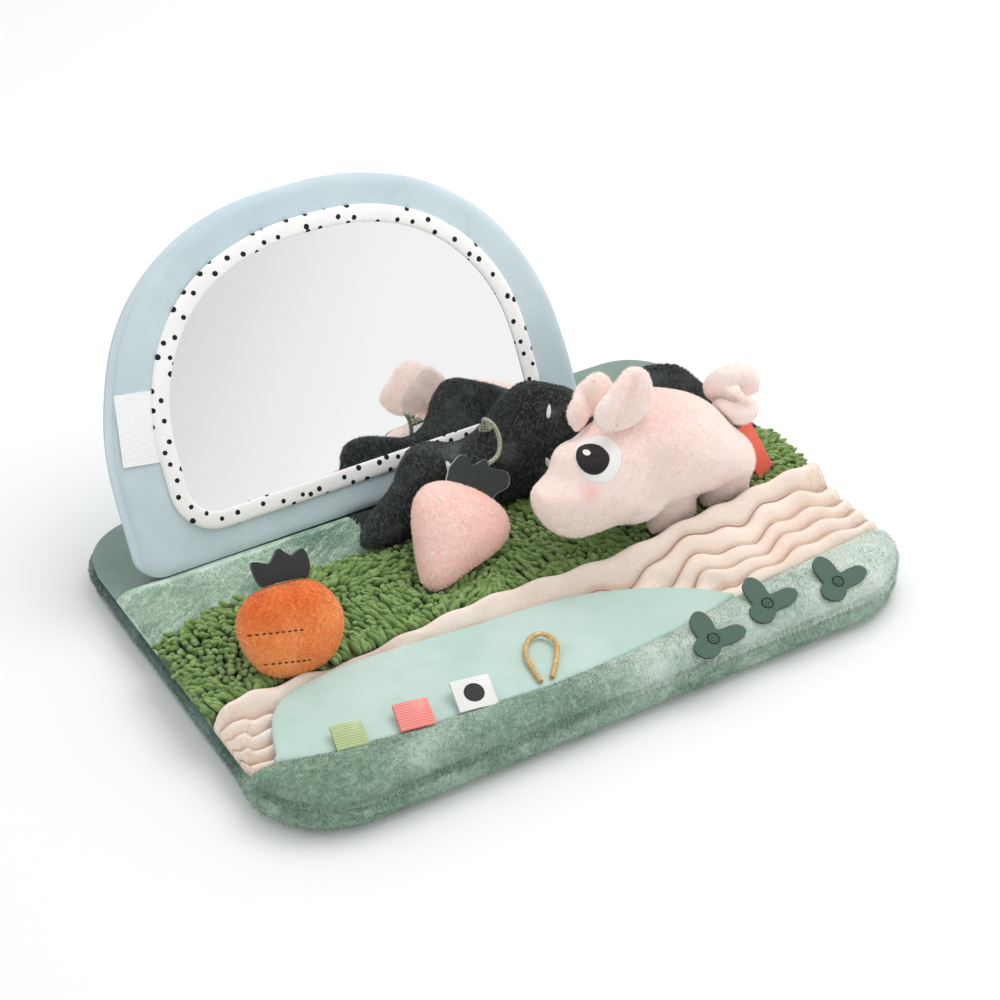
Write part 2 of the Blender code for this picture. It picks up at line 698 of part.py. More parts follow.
def make_grass(name, start, end, seed):
    """Backing with strands drawn up from its own faces, all leaning one way."""
    chance = random.Random(seed)
    stations = mat_columns(start, end)
    mesh_data, cells = pad_mesh(stations, even_shares(GRASS_ROWS), lambda x: path_edge(x) + FIT,
                                lambda x: grass_edge(x) - FIT, grass_top)
    open_cells = [cell for cell in cells if not in_toy_shadow(*cell.calc_center_median().xy)]
    split = bmesh.ops.triangulate(mesh_data, faces=open_cells)["faces"]
    bmesh.ops.inset_individual(mesh_data, faces=split, thickness=STRAND_INSET, use_even_offset=True)
    tips = bmesh.ops.extrude_discrete_faces(mesh_data, faces=split)["faces"]
    for tip in tips:
        centre = tip.calc_center_median()
        swing = math.sin(centre.x / MAT_DEPTH * math.tau * 2) * 0.6
        lean = Vector((STRAND_LEAN * swing, -STRAND_LEAN, 0.0)) * chance.uniform(0.6, 1.0)
        rise = Vector((0.0, 0.0, STRAND_LENGTH * chance.uniform(0.8, 1.0)))
        for corner in tip.verts:
            corner.co = centre + (corner.co - centre) * STRAND_TAPER_SHARE + lean + rise
    add_piece(name, mesh_data, finish(name, (0.12, 0.27, 0.06), 0.95))


def field_top(x, y):
    """Plush field, rounded at the mat's side and at its own rear edge."""
    side = PAD_BOTTOM + PLUSH_SIDE - TWILL
    shape = round_over(side_distance(x, y) + FIT, PLUSH_ROUND)
    shape *= round_over(field_rear(x) - y + FIT, PLUSH_ROUND + TWILL)
    return side + (FIELD_TOP - side) * shape


def make_field(name, start, end, color):
    """One sewn panel of the plush field between the grass and the rear cover."""
    mesh_data, _ = pad_mesh(mat_columns(start, end), FIELD_ROW_SHARES, lambda x: grass_edge(x) + FIT,
                            field_rear, field_top)
    add_piece(name, mesh_data, finish(name, color, 0.95))


def make_mat():
    make_tray()
    make_core()
    make_side_band()
    make_rear_cover()
    make_border()
    make_path()
    make_pond()
    half = MAT_LENGTH / 2
    split = MAT_LENGTH * PATCH_SPLIT_SHARE
    make_grass("grass_left", -half, -FIT / 2, 3)
    make_grass("grass_right", FIT / 2, half, 8)
    make_field("sage_field", -half, split - FIT / 2, (0.27, 0.43, 0.33))
    make_field("dark_field", split + FIT / 2, half, (0.035, 0.04, 0.04))


# Pillow shapes: flat patterns sewn back to back and filled

def scaled(shares, width, height, centre=(0.0, 0.0)):
    return [(centre[0] + width * a, centre[1] + height * b) for a, b in shares]


def pillow(name, outline, half_thickness, made, parent, samples=30, grow=0.0,
           ring_shares=(1.0, 0.955, 0.80, 0.45), seam_half=0.0004):
    """Filled pattern piece: outline in x and z, swelling to both sides along y."""
    loop = smooth_loop([(a, b, 0.0) for a, b in outline], samples)
    middle = sum(loop, Vector()) / samples
    mesh_data = bmesh.new()
    sheets = []
    for side in (-1, 1):
        rings = []
        for share in ring_shares:
            swell = math.sqrt(1 - share ** 2) * (half_thickness - seam_half) + seam_half + grow
            ring = []
            for point in loop:
                out = point - middle
                out = out * share + out.normalized() * grow * share
                ring.append(mesh_data.verts.new((middle.x + out.x, side * swell, middle.y + out.y)))
            rings.append(ring)
        bridge(mesh_data, rings)
        pole = mesh_data.verts.new((middle.x, side * (half_thickness + grow), middle.y))
        for i in range(samples):
            mesh_data.faces.new((rings[-1][i], rings[-1][(i + 1) % samples], pole))
        sheets.append(rings[0])
    bridge(mesh_data, sheets)
    return add_piece(name, mesh_data, made, parent)


def block(name, low, high, made, parent):
    """Plain box between two corners, for small flat strips and for cutters."""
    loops = [[(low[0], low[1], z), (high[0], low[1], z), (high[0], high[1], z), (low[0], high[1], z)]
             for z in (low[2], high[2])]
    return stack(name, loops, made, parent)


def plate(name, outline, low, high, made, parent, samples=0):
    """Flat cut piece: outline in x and z, between two levels of y."""
    points = smooth_loop([(a, b, 0.0) for a, b in outline], samples) if samples else outline
    loops = [[(point[0], y, point[1]) for point in points] for y in (low, high)]
    return stack(name, loops, made, parent)


# Bush and its knot

def bush_frame():
    found = bpy.data.objects.get("bush_frame")
    if found:
        return found
    place = (0.0, grass_edge(0.0), FIELD_TOP + FIT)
    return add_frame("bush_frame", place, (-BUSH_LEAN, 0.0, 0.0))


def make_bush():
    outline = scaled(BUSH_OUTLINE_SHARES, BUSH_WIDTH, BUSH_HEIGHT)
    pillow("bush", outline, BUSH_HALF_THICKNESS, finish("bush", (0.03, 0.035, 0.035), 0.95),
           bush_frame(), samples=46)


def knot_local():
    return Vector((BUSH_WIDTH * KNOT_PLACE_SHARES[0], 0.0, BUSH_HEIGHT * KNOT_PLACE_SHARES[1]))


def knot_place():
    """The knot in world coordinates: the strawberry swings about it."""
    return bush_frame().location + Matrix.Rotation(-BUSH_LEAN, 3, "X") @ knot_local()


def make_knot():
    """Small sewn button that the elastic cord comes out of."""
    mesh_data = bmesh.new()
    bmesh.ops.create_icosphere(mesh_data, subdivisions=2, radius=KNOT_RADIUS)
    knot = add_piece("cord_knot", mesh_data, finish("cord_knot", (0.05, 0.055, 0.055), 0.9), bush_frame())
    knot.location = knot_local()
    space = pillow("bush_space", scaled(BUSH_OUTLINE_SHARES, BUSH_WIDTH, BUSH_HEIGHT),
                   BUSH_HALF_THICKNESS, None, bush_frame(), samples=46, grow=FIT)
    carve(knot, space)


# Toys

def make_carrot():
    place = (MAT_LENGTH * CARROT_PLACE_SHARES[0], MAT_DEPTH * CARROT_PLACE_SHARES[1],
             FIELD_TOP + CARROT_RAISE)
    frame = add_frame("carrot_slide", place, (-CARROT_LEAN, 0.0, 0.0))
    centre = (0.0, CARROT_HEIGHT * CARROT_CENTRE_SHARE)
    outline = scaled(CARROT_OUTLINE_SHARES, CARROT_WIDTH, CARROT_HEIGHT, centre)
    pillow("carrot_body", outline, CARROT_HALF_THICKNESS, finish("carrot_body", (0.80, 0.22, 0.05), 0.9),
           frame, samples=30)
    space = pillow("carrot_space", outline, CARROT_HALF_THICKNESS, None, frame, samples=30, grow=FIT)
    crown_base = (CARROT_WIDTH * CROWN_PLACE_SHARES[0], CARROT_HEIGHT * CROWN_PLACE_SHARES[1])
    crown_outline = scaled(CROWN_OUTLINE_SHARES, CROWN_WIDTH, CROWN_HEIGHT, crown_base)
    crown = plate("carrot_leaves", crown_outline, -CROWN_THICKNESS / 2, CROWN_THICKNESS / 2,
                  finish("carrot_leaves", (0.03, 0.032, 0.032), 0.95), frame,
                  samples=3 * len(CROWN_OUTLINE_SHARES))
    carve(crown, space)


def berry_place():
    return Vector((MAT_LENGTH * BERRY_PLACE_SHARES[0], MAT_DEPTH * BERRY_PLACE_SHARES[1],
                   PAD_BOTTOM + GRASS_BASE + BERRY_HEIGHT / 2 * math.cos(BERRY_LEAN) + BERRY_RAISE))


def cord_route():
    """Elastic cord from the top of the knot round to the edge of the felt leaves."""
    leaf_end = Vector((BERRY_WIDTH * CALYX_PLACE_SHARES[0] + CALYX_SIZE * CALYX_CORD_SHARES[0] + FIT, 0.0,
                       BERRY_HEIGHT * CALYX_PLACE_SHARES[1] + CALYX_SIZE * CALYX_CORD_SHARES[1]))
    end = berry_place() + Matrix.Rotation(-BERRY_LEAN, 3, "X") @ leaf_end
    start = knot_place()
    points = []
    for along, side, rise in CORD_BEND_SHARES:
        points.append(start.lerp(end, along) + CORD_LOOP * Vector((side, 0.0, rise)))
    return smooth_route(points, CORD_STEPS)


def make_strawberry():
    """The berry and its cord turn together about the knot."""
    knot = knot_place()
    pivot = add_frame("strawberry_pivot", knot)
    frame = add_frame("strawberry_frame", berry_place() - knot, (-BERRY_LEAN, 0.0, 0.0), pivot)
    outline = scaled(BERRY_OUTLINE_SHARES, BERRY_WIDTH, BERRY_HEIGHT)
    pillow("strawberry_body", outline, BERRY_HALF_THICKNESS,
           finish("strawberry_body", (0.93, 0.50, 0.40), 0.9), frame, samples=30)
    space = pillow("strawberry_space", outline, BERRY_HALF_THICKNESS, None, frame, samples=30, grow=FIT)
    centre = (BERRY_WIDTH * CALYX_PLACE_SHARES[0], BERRY_HEIGHT * CALYX_PLACE_SHARES[1])
    calyx = plate("strawberry_leaves", scaled(CALYX_OUTLINE_SHARES, CALYX_SIZE, CALYX_SIZE, centre),
                  -CALYX_THICKNESS / 2, CALYX_THICKNESS / 2,
                  finish("strawberry_leaves", (0.28, 0.33, 0.28), 0.9), frame)
    carve(calyx, space)
    route = [point - knot for point in cord_route()]
    tube("strawberry_cord", route, CORD_DIAMETER, finish("strawberry_cord", (0.50, 0.56, 0.48), 0.8), pivot)


def tube(name, route, diameter, made, parent, rounding=2):
    """Round cord as a bevelled curve with filled ends."""
    curve = bpy.data.curves.new(name, "CURVE")
    curve.dimensions = "3D"
    line = curve.splines.new("POLY")
    line.points.add(len(route) - 1)
    for point, place in zip(line.points, route):
        point.co = (*place, 1.0)
    curve.bevel_depth = diameter / 2
    curve.bevel_resolution = rounding
    curve.use_fill_caps = True
    curve.materials.append(made)
    cord = bpy.data.objects.new(name, curve)
    cord.parent = parent
    bpy.context.scene.collection.objects.link(cord)
    return cord


def pig_point(shares):
    return (PIG_LENGTH * shares[0], PIG_HEIGHT * shares[1])


def make_pig_tail(frame, made, spaces):
    """Curl of filled plush, a round rope that tapers to its tip."""
    scale = Vector((PIG_LENGTH, PIG_LENGTH, PIG_HEIGHT))
    route = smooth_route([Vector(p) * scale for p in TAIL_ROUTE_SHARES], 2)
    mesh_data = bmesh.new()
    rings = []
    sides = TAIL_SIDES
    for i, place in enumerate(route):
        ahead, behind = route[min(i + 1, len(route) - 1)], route[max(i - 1, 0)]
        along = (ahead - behind).normalized()
        across = along.cross(Vector((0.0, 1.0, 0.0))).normalized()
        other = along.cross(across)
        radius = TAIL_RADIUS * (1 - (1 - TAIL_TIP_SHARE) * i / (len(route) - 1))
        ring = [mesh_data.verts.new(place + radius * (across * math.cos(math.tau * k / sides)
                                                      + other * math.sin(math.tau * k / sides)))
                for k in range(sides)]
        rings.append(ring)
    bridge(mesh_data, rings)
    for ring, place, outward in ((rings[0], route[0], route[0] - route[1]),
                                 (rings[-1], route[-1], route[-1] - route[-2])):
        pole = mesh_data.verts.new(place + outward.normalized() * TAIL_RADIUS * 0.6)
        for k in range(sides):
            mesh_data.faces.new((ring[k], ring[(k + 1) % sides], pole))
    tail = add_piece("pig_tail", mesh_data, made, frame)
    carve(tail, *spaces)


def make_pig():
    place = (MAT_LENGTH * PIG_PLACE_SHARES[0], MAT_DEPTH * PIG_PLACE_SHARES[1], FIELD_TOP + PIG_RAISE)
    frame = add_frame("pig_slide", place, (-PIG_LEAN, 0.0, PIG_TURN))
    plush = finish("pig", (0.86, 0.62, 0.55), 0.95)
    body_line = scaled(PIG_BODY_SHARES, PIG_LENGTH, PIG_HEIGHT)
    head_line = scaled(PIG_HEAD_SHARES, PIG_LENGTH, PIG_HEIGHT)
    pillow("pig_body", body_line, PIG_BODY_HALF_THICKNESS, plush, frame, samples=30)
    body_space = pillow("pig_body_space", body_line, PIG_BODY_HALF_THICKNESS, None, frame, samples=30,
                        grow=FIT)
    head = pillow("pig_head", head_line, PIG_HEAD_HALF_THICKNESS, plush, frame, samples=28)
    carve(head, body_space)
    head_space = pillow("pig_head_space", head_line, PIG_HEAD_HALF_THICKNESS, None, frame, samples=28,
                        grow=FIT)
    for name, share in zip(("pig_front_leg", "pig_hind_leg"), PIG_LEG_PLACES_SHARES):
        line = scaled(PIG_LEG_SHARES, PIG_LEG_WIDTH, PIG_LEG_HEIGHT, (PIG_LENGTH * share, -PIG_FOOT_DROP))
        leg = pillow(name, line, PIG_LEG_HALF_THICKNESS, plush, frame, samples=20)
        carve(leg, body_space, head_space)
    for name, shares, tilt, width, height in zip(("pig_near_ear", "pig_far_ear"), PIG_EAR_PLACES_SHARES,
                                                 PIG_EAR_TILTS, PIG_EAR_WIDTHS, PIG_EAR_HEIGHTS):
        ear = pillow(name, scaled(PIG_EAR_SHARES, width, height), PIG_EAR_HALF_THICKNESS, plush, frame,
                     samples=20)
        ear.location = (PIG_LENGTH * shares[0], PIG_LENGTH * shares[1], PIG_HEIGHT * shares[2])
        ear.rotation_euler = (tilt, 0.0, 0.0)
        carve(ear, body_space, head_space)
    make_pig_tail(frame, plush, (body_space,))
    middle = pig_point(SIDE_TAG_PLACE_SHARES)
    tag = block("pig_side_tag", (-SIDE_TAG_WIDTH / 2, -SIDE_TAG_THICKNESS / 2, -SIDE_TAG_LENGTH / 2),
                (SIDE_TAG_WIDTH / 2, SIDE_TAG_THICKNESS / 2, SIDE_TAG_LENGTH / 2),
                finish("pig_side_tag", (0.85, 0.18, 0.12), 0.6), frame)
    tag.location = (middle[0], 0.0, middle[1])
    tag.rotation_euler = (0.0, -SIDE_TAG_TURN, 0.0)
    leg_line = scaled(PIG_LEG_SHARES, PIG_LEG_WIDTH, PIG_LEG_HEIGHT,
                      (PIG_LENGTH * PIG_LEG_PLACES_SHARES[1], -PIG_FOOT_DROP))
    leg_space = pillow("pig_leg_space", leg_line, PIG_LEG_HALF_THICKNESS, None, frame, samples=20, grow=FIT)
    carve(tag, body_space, leg_space)


# Seam tags, loop and leaves

def seam_space():
    """Everything in front of the border's rear seam, as a cutter for what is sewn into it."""
    found = bpy.data.objects.get("seam_space")
    if found:
        return found
    left, right = pond_span()
    stations = mat_columns(left - OVERRUN, right)
    line = [(x, border_seam(x) + FIT) for x in stations]
    line += [(right, -MAT_DEPTH), (left - OVERRUN, -MAT_DEPTH)]
    return stack("seam_space", [[(x, y, z) for x, y in line] for z in (0.0, PAGE_HEIGHT)], None)


def make_tag(name, x, width, reach, color):
    """Folded ribbon standing up from the pond flap, with both ends in its seam."""
    radius = TAG_FOLD_HEIGHT / 2
    bends = 6

    def strip(depth):
        points = [(-TAG_TUCK, depth), (reach - radius, depth)]
        for step in range(1, bends):
            angle = math.radians(-90) + math.pi * step / bends
            points.append((reach - radius + (radius - depth) * math.cos(angle),
                           radius + (radius - depth) * math.sin(angle)))
        points += [(reach - radius, 2 * radius - depth), (-TAG_TUCK, 2 * radius - depth)]
        return points

    place = Vector((x, border_seam(x), 0.0))
    spin = Matrix.Rotation(TAG_TURN, 3, "Z") @ Matrix.Rotation(TAG_RISE, 3, "X")
    sides, alongs = (-0.5, -0.25, 0.0, 0.25, 0.5), [i / 12 for i in range(-3, 13)]
    under = [place + spin @ Vector((width * side, reach * along, 0.0)) for side in sides for along in alongs]
    place.z = resting_level(under)
    frame = add_frame(name + "_frame", place - pond_hinge_place(), (TAG_RISE, 0.0, TAG_TURN), pond_hinge())
    profile = strip(0.0) + strip(TAG_CLOTH)[::-1]
    loops = [[(side * width / 2, y, z) for y, z in profile] for side in (-1, 1)]
    tag = stack(name, loops, finish(name, color, 0.7), frame)
    carve(tag, seam_space())


def pond_surface(x, y):
    """Level of the pond flap's upper side."""
    near = border_seam(x) + FIT
    far = max(pond_edge(x), near + OVERRUN)
    share = min(max((y - near) / (far - near), 0.0), 1.0)
    return pond_low(x, y) + POND_THICKNESS + POND_CROWN * round_over(min(share, 1 - share), 0.5)


def resting_level(points):
    """How far to raise points, given near level zero, for all to clear the pond flap."""
    return FIT + max(pond_surface(p.x, p.y) - p.z for p in points if p.y > border_seam(p.x))


def loop_route():
    """Drop of elastic cord, both ends in the seam, in world coordinates."""
    x = MAT_LENGTH * LOOP_PLACE_SHARE
    base = Vector((x, border_seam(x) + LOOP_CORD / 2 + FIT * 4, 0.0))
    points = [base + LOOP_REACH * Vector(shares) for shares in LOOP_ROUTE_SHARES]
    rise = Vector((0.0, 0.0, resting_level(points) + LOOP_CORD / 2))
    return smooth_route([point + rise for point in points], 2)


def make_gold_loop():
    origin = pond_hinge_place()
    tube("gold_loop", [point - origin for point in loop_route()], LOOP_CORD,
         finish("gold_loop", (0.60, 0.38, 0.16), 0.6), pond_hinge())


def make_tags():
    names = ("green_tag", "coral_tag", "dot_tag")
    colors = ((0.35, 0.47, 0.20), (0.85, 0.25, 0.20), (0.85, 0.84, 0.80))
    for name, share, width, reach, color in zip(names, TAG_PLACES_SHARES, TAG_WIDTHS, TAG_REACHES, colors):
        make_tag(name, MAT_LENGTH * share, width, reach, color)
    make_gold_loop()


def leaf_level(x, y, turn):
    """Level of a leaf's hub at which its tilted plane just clears the roll."""
    slope = math.tan(LEAF_TILT)
    needs = []
    for a, b in LEAF_OUTLINE_SHARES:
        for reach in (0.0, 0.4, 0.7, 1.0):
            along = LEAF_SIZE * reach * (a * math.cos(turn) - b * math.sin(turn))
            across = LEAF_SIZE * reach * (a * math.sin(turn) + b * math.cos(turn)) * math.cos(LEAF_TILT)
            if y + across > outline_y(x + along, -1, FRONT_CORNER, BORDER_BULGE):
                needs.append(border_top(x + along, y + across) - across * slope)
    return max(needs) + FIT


def make_leaf(name, shares, turn):
    x, y = MAT_LENGTH * shares[0], MAT_DEPTH * shares[1]
    frame = add_frame(name + "_frame", (x, y, leaf_level(x, y, turn)), (LEAF_TILT, 0.0, 0.0))
    made = finish(name, (0.09, 0.15, 0.12), 0.6)
    points = smooth_loop([(LEAF_SIZE * a, LEAF_SIZE * b, 0.0) for a, b in LEAF_OUTLINE_SHARES],
                         2 * len(LEAF_OUTLINE_SHARES))
    spin = Matrix.Rotation(turn, 3, "Z")
    rise = Vector((0.0, 0.0, LEAF_THICKNESS))
    stack(name, [[spin @ point for point in points], [spin @ point + rise for point in points]], made, frame)


def make_leaves():
    for number, (shares, turn) in enumerate(zip(LEAF_PLACES_SHARES, LEAF_TURNS), start=1):
        make_leaf("leaf_%d" % number, shares, turn)


# Mirror page

def arch_loop(width, height, straight, corner, exponent, inset, level, raise_by=0.0):
    """Flat foot, round lower corners, upright sides and an arched top, at one level of y."""
    half, top = width / 2 - inset, height - inset
    foot, bend = inset, max(corner - inset, FIT)
    points = []
    for step in range(ARCH_CORNER_STEPS + 1):
        angle = math.radians(-90) + math.radians(90) * step / ARCH_CORNER_STEPS
        points.append((half - bend + bend * math.cos(angle), foot + bend + bend * math.sin(angle)))
    for step in range(ARCH_STEPS + 1):
        angle = math.pi * step / ARCH_STEPS
        swing, lift = math.cos(angle), math.sin(angle)
        points.append((half * math.copysign(abs(swing) ** (2 / exponent), swing),
                       straight + (top - straight) * abs(lift) ** (2 / exponent)))
    for step in range(ARCH_CORNER_STEPS + 1):
        angle = math.pi + math.radians(90) * step / ARCH_CORNER_STEPS
        points.append((-half + bend + bend * math.cos(angle), foot + bend + bend * math.sin(angle)))
    return [(a, level, b + raise_by) for a, b in points]


def page_loop(inset, level):
    return arch_loop(PAGE_WIDTH, PAGE_HEIGHT, PAGE_STRAIGHT, PAGE_CORNER, PAGE_EXPONENT, inset, level)


def frame_loop(inset, level):
    return arch_loop(FRAME_WIDTH, FRAME_HEIGHT, FRAME_STRAIGHT, FRAME_CORNER, FRAME_EXPONENT, inset, level,
                     FRAME_RAISE)


def page_hinge_place():
    return Vector((MAT_LENGTH * PAGE_PLACE_SHARES[0], MAT_DEPTH * PAGE_PLACE_SHARES[1], FIELD_TOP + FIT))


def make_page():
    hinge = add_frame("mirror_hinge", page_hinge_place(), (-PAGE_LEAN, 0.0, 0.0))
    rear = PAGE_THICKNESS - COVER_CLOTH
    rim = rear - FIT
    soft = PAGE_THICKNESS / 6
    front_loops = (page_loop(soft * 2.4, 0.0), page_loop(soft * 0.9, soft * 0.22),
                   page_loop(soft * 0.22, soft), page_loop(0.0, soft * 2.2), page_loop(0.0, rim),
                   page_loop(COVER_CLOTH, rim), page_loop(COVER_CLOTH, soft * 2.2),
                   page_loop(soft * 2.4 + COVER_CLOTH, COVER_CLOTH))
    stack("page_front_cover", front_loops, finish("page_front_cover", (0.48, 0.60, 0.66), 0.8), hinge)
    inner = COVER_CLOTH + FIT
    foam_loops = (page_loop(soft * 2.4 + inner * 2, inner), page_loop(inner, soft * 2.2 + inner),
                  page_loop(inner, rim))
    stack("page_foam", foam_loops, finish("page_foam", (0.82, 0.82, 0.78), 0.95), hinge)
    back_loops = (page_loop(0.0, rear), page_loop(0.0, PAGE_THICKNESS - COVER_CLOTH / 2),
                  page_loop(COVER_CLOTH, PAGE_THICKNESS))
    stack("page_back_cover", back_loops, finish("page_back_cover", (0.46, 0.58, 0.64), 0.8), hinge)
    return hinge


def make_mirror(hinge):
    """Mirror sheet held under the inner edge of a padded binding."""
    sheet_inset = BINDING_WIDTH - MIRROR_TUCK
    low, high = -FIT - MIRROR_THICKNESS, -FIT
    stack("mirror_sheet", (frame_loop(sheet_inset + FIT, high), frame_loop(sheet_inset + FIT, low)),
          finish("mirror_sheet", (0.85, 0.86, 0.87), 0.03, 1.0), hinge)
    over = low - FIT
    crest = over - BINDING_THICKNESS + MIRROR_THICKNESS
    edge = BINDING_WIDTH / 6
    loops = (frame_loop(0.0, -FIT), frame_loop(0.0, -FIT - MIRROR_THICKNESS / 2),
             frame_loop(edge, crest * 0.8), frame_loop(edge * 2.4, crest), frame_loop(edge * 4.4, crest),
             frame_loop(BINDING_WIDTH - edge / 2, crest * 0.85), frame_loop(BINDING_WIDTH, over),
             frame_loop(sheet_inset, over), frame_loop(sheet_inset, -FIT))
    stack("mirror_binding", loops, finish("mirror_binding", (0.86, 0.86, 0.84), 0.85), hinge, closed=True)


def make_label(hinge):
    """Blank woven label beside the binding, on the left margin of the page."""
    label = block("side_label", (-LABEL_WIDTH / 2, -LABEL_THICKNESS, 0.0),
                  (LABEL_WIDTH / 2, 0.0, LABEL_HEIGHT), finish("side_label", (0.88, 0.88, 0.87), 0.7), hinge)
    label.location = (-PAGE_WIDTH / 2 + LABEL_MARGIN + LABEL_WIDTH / 2, -FIT, LABEL_RAISE)
    label.rotation_euler = (0.0, -LABEL_TURN, 0.0)
    space = stack("binding_space", (frame_loop(-FIT, -OVERRUN), frame_loop(-FIT, OVERRUN)), None, hinge)
    carve(label, space)


# Support flap

def flap_hinge_place():
    """Hinge line of the support flap on the back of the page, in world coordinates."""
    out = PAGE_THICKNESS + FIT + FLAP_THICKNESS / 2
    up = FLAP_HINGE_RAISE
    lean = PAGE_LEAN
    return page_hinge_place() + Vector((0.0, out * math.cos(lean) + up * math.sin(lean),
                                        up * math.cos(lean) - out * math.sin(lean)))


def make_support(hinge):
    """Stiff cloth flap with a toe that grips the rear cover."""
    top = flap_hinge_place()
    toe_top = TWILL_TOP + (GRIP_THICKNESS + FIT) * 2 + FIT + FLAP_TOE_THICKNESS
    drop = top.z - toe_top
    frame = add_frame("flap_hinge", hinge_inverse() @ top, (PAGE_LEAN, 0.0, 0.0), hinge)
    half = FLAP_THICKNESS / 2
    tuck = -FLAP_TUCK
    profile = ((-half, 0.0), (-half + tuck, -drop - FLAP_TOE_THICKNESS),
               (half + tuck + FLAP_TOE, -drop - FLAP_TOE_THICKNESS), (half + tuck + FLAP_TOE, -drop),
               (half + tuck, -drop), (half, 0.0))
    loops = [[(side * FLAP_WIDTH / 2, y, z) for y, z in profile] for side in (-1, 1)]
    stack("support_flap", loops, finish("support_flap", (0.13, 0.20, 0.17), 0.8), frame)
    near, far = tuck - half + FIT, tuck + half + FLAP_TOE - FIT
    low = -drop - FLAP_TOE_THICKNESS - FIT
    block("hook_strip", (-GRIP_LENGTH / 2, near, low - GRIP_THICKNESS), (GRIP_LENGTH / 2, far, low),
          finish("hook_strip", (0.08, 0.10, 0.09), 0.7), frame)
    x, y = top.x, top.y
    block("loop_strip", (x - GRIP_LENGTH / 2, y + near, TWILL_TOP + FIT),
          (x + GRIP_LENGTH / 2, y + far, TWILL_TOP + FIT + GRIP_THICKNESS),
          finish("loop_strip", (0.10, 0.13, 0.11), 0.95), None)


def hinge_inverse():
    placed = Matrix.Translation(page_hinge_place()) @ Matrix.Rotation(-PAGE_LEAN, 4, "X")
    return placed.inverted()


def make_mirror_page():
    hinge = make_page()
    make_mirror(hinge)
    make_label(hinge)
    make_support(hinge)


def main():
    clear_scene()
    make_mat()
    make_tags()
    make_leaves()
    make_bush()
    make_knot()
    make_carrot()
    make_strawberry()
    make_pig()
    make_mirror_page()


main()
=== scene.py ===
"""Looks of the tummy time book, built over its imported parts."""
import math
import random

import bmesh
import bpy
from mathutils import Matrix, Vector, noise
from mathutils.bvhtree import BVHTree


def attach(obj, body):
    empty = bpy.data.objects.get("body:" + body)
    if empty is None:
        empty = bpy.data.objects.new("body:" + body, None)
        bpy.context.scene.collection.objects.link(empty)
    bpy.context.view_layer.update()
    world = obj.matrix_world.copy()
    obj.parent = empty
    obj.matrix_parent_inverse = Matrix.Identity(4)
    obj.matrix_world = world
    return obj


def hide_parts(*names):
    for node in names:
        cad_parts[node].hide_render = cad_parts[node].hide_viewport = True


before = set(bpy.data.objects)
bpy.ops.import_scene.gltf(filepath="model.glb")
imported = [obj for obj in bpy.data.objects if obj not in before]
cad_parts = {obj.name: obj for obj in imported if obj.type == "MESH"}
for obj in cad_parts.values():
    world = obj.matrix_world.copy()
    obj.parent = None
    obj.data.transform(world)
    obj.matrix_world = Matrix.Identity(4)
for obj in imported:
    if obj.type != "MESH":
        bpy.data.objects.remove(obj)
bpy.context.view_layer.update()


# Camera
# The photograph looks down on the book from its left front corner, through a long lens that keeps the
# sides of the mat nearly parallel.
def aim(thing, target):
    """Turn a camera or a lamp towards a place."""
    thing.rotation_euler = (Vector(target) - thing.location).to_track_quat("-Z", "Y").to_euler()


camera = bpy.data.objects.new("camera", bpy.data.cameras.new("camera"))
camera.data.lens = 83.4135
camera.data.sensor_width = 36.0
camera.location = (-0.51213, -0.85621, 0.77707)
aim(camera, (-0.0145, -0.031, 0.08))
bpy.context.scene.collection.objects.link(camera)
bpy.context.scene.camera = camera
bpy.context.scene.view_settings.view_transform = "Standard"


# Table top and light
# A wide white board that keeps the book's soft shadow. White walls all round give most of the light,
# with one wide lamp above to the right. The walls are a little grey high up at the front.
def paint(red, green, blue):
    """A colour as the screen shows it, from 0 to 255, as the light values that a shader takes."""
    return tuple(c / 3294.6 if c < 10.4 else ((c / 255 + 0.055) / 1.055) ** 2.4 for c in (red, green, blue))


class Wire:
    """A number inside a finish, which takes part in plain arithmetic."""

    def __init__(self, finish, socket):
        self.finish = finish
        self.socket = socket

    def maths(self, operation, left, right=0.0):
        return self.finish.node("ShaderNodeMath", {"operation": operation}, {0: left, 1: right})

    def __add__(self, other):
        return self.maths("ADD", self, other)

    def __radd__(self, other):
        return self.maths("ADD", other, self)

    def __sub__(self, other):
        return self.maths("SUBTRACT", self, other)

    def __rsub__(self, other):
        return self.maths("SUBTRACT", other, self)

    def __mul__(self, other):
        return self.maths("MULTIPLY", self, other)

    def __rmul__(self, other):
        return self.maths("MULTIPLY", other, self)

    def __truediv__(self, other):
        return self.maths("DIVIDE", self, other)

    def __pow__(self, other):
        return self.maths("POWER", self, other)

    def __gt__(self, other):
        return self.maths("GREATER_THAN", self, other)

    def sine(self):
        return self.maths("SINE", self)

    def size(self):
        return self.maths("ABSOLUTE", self)


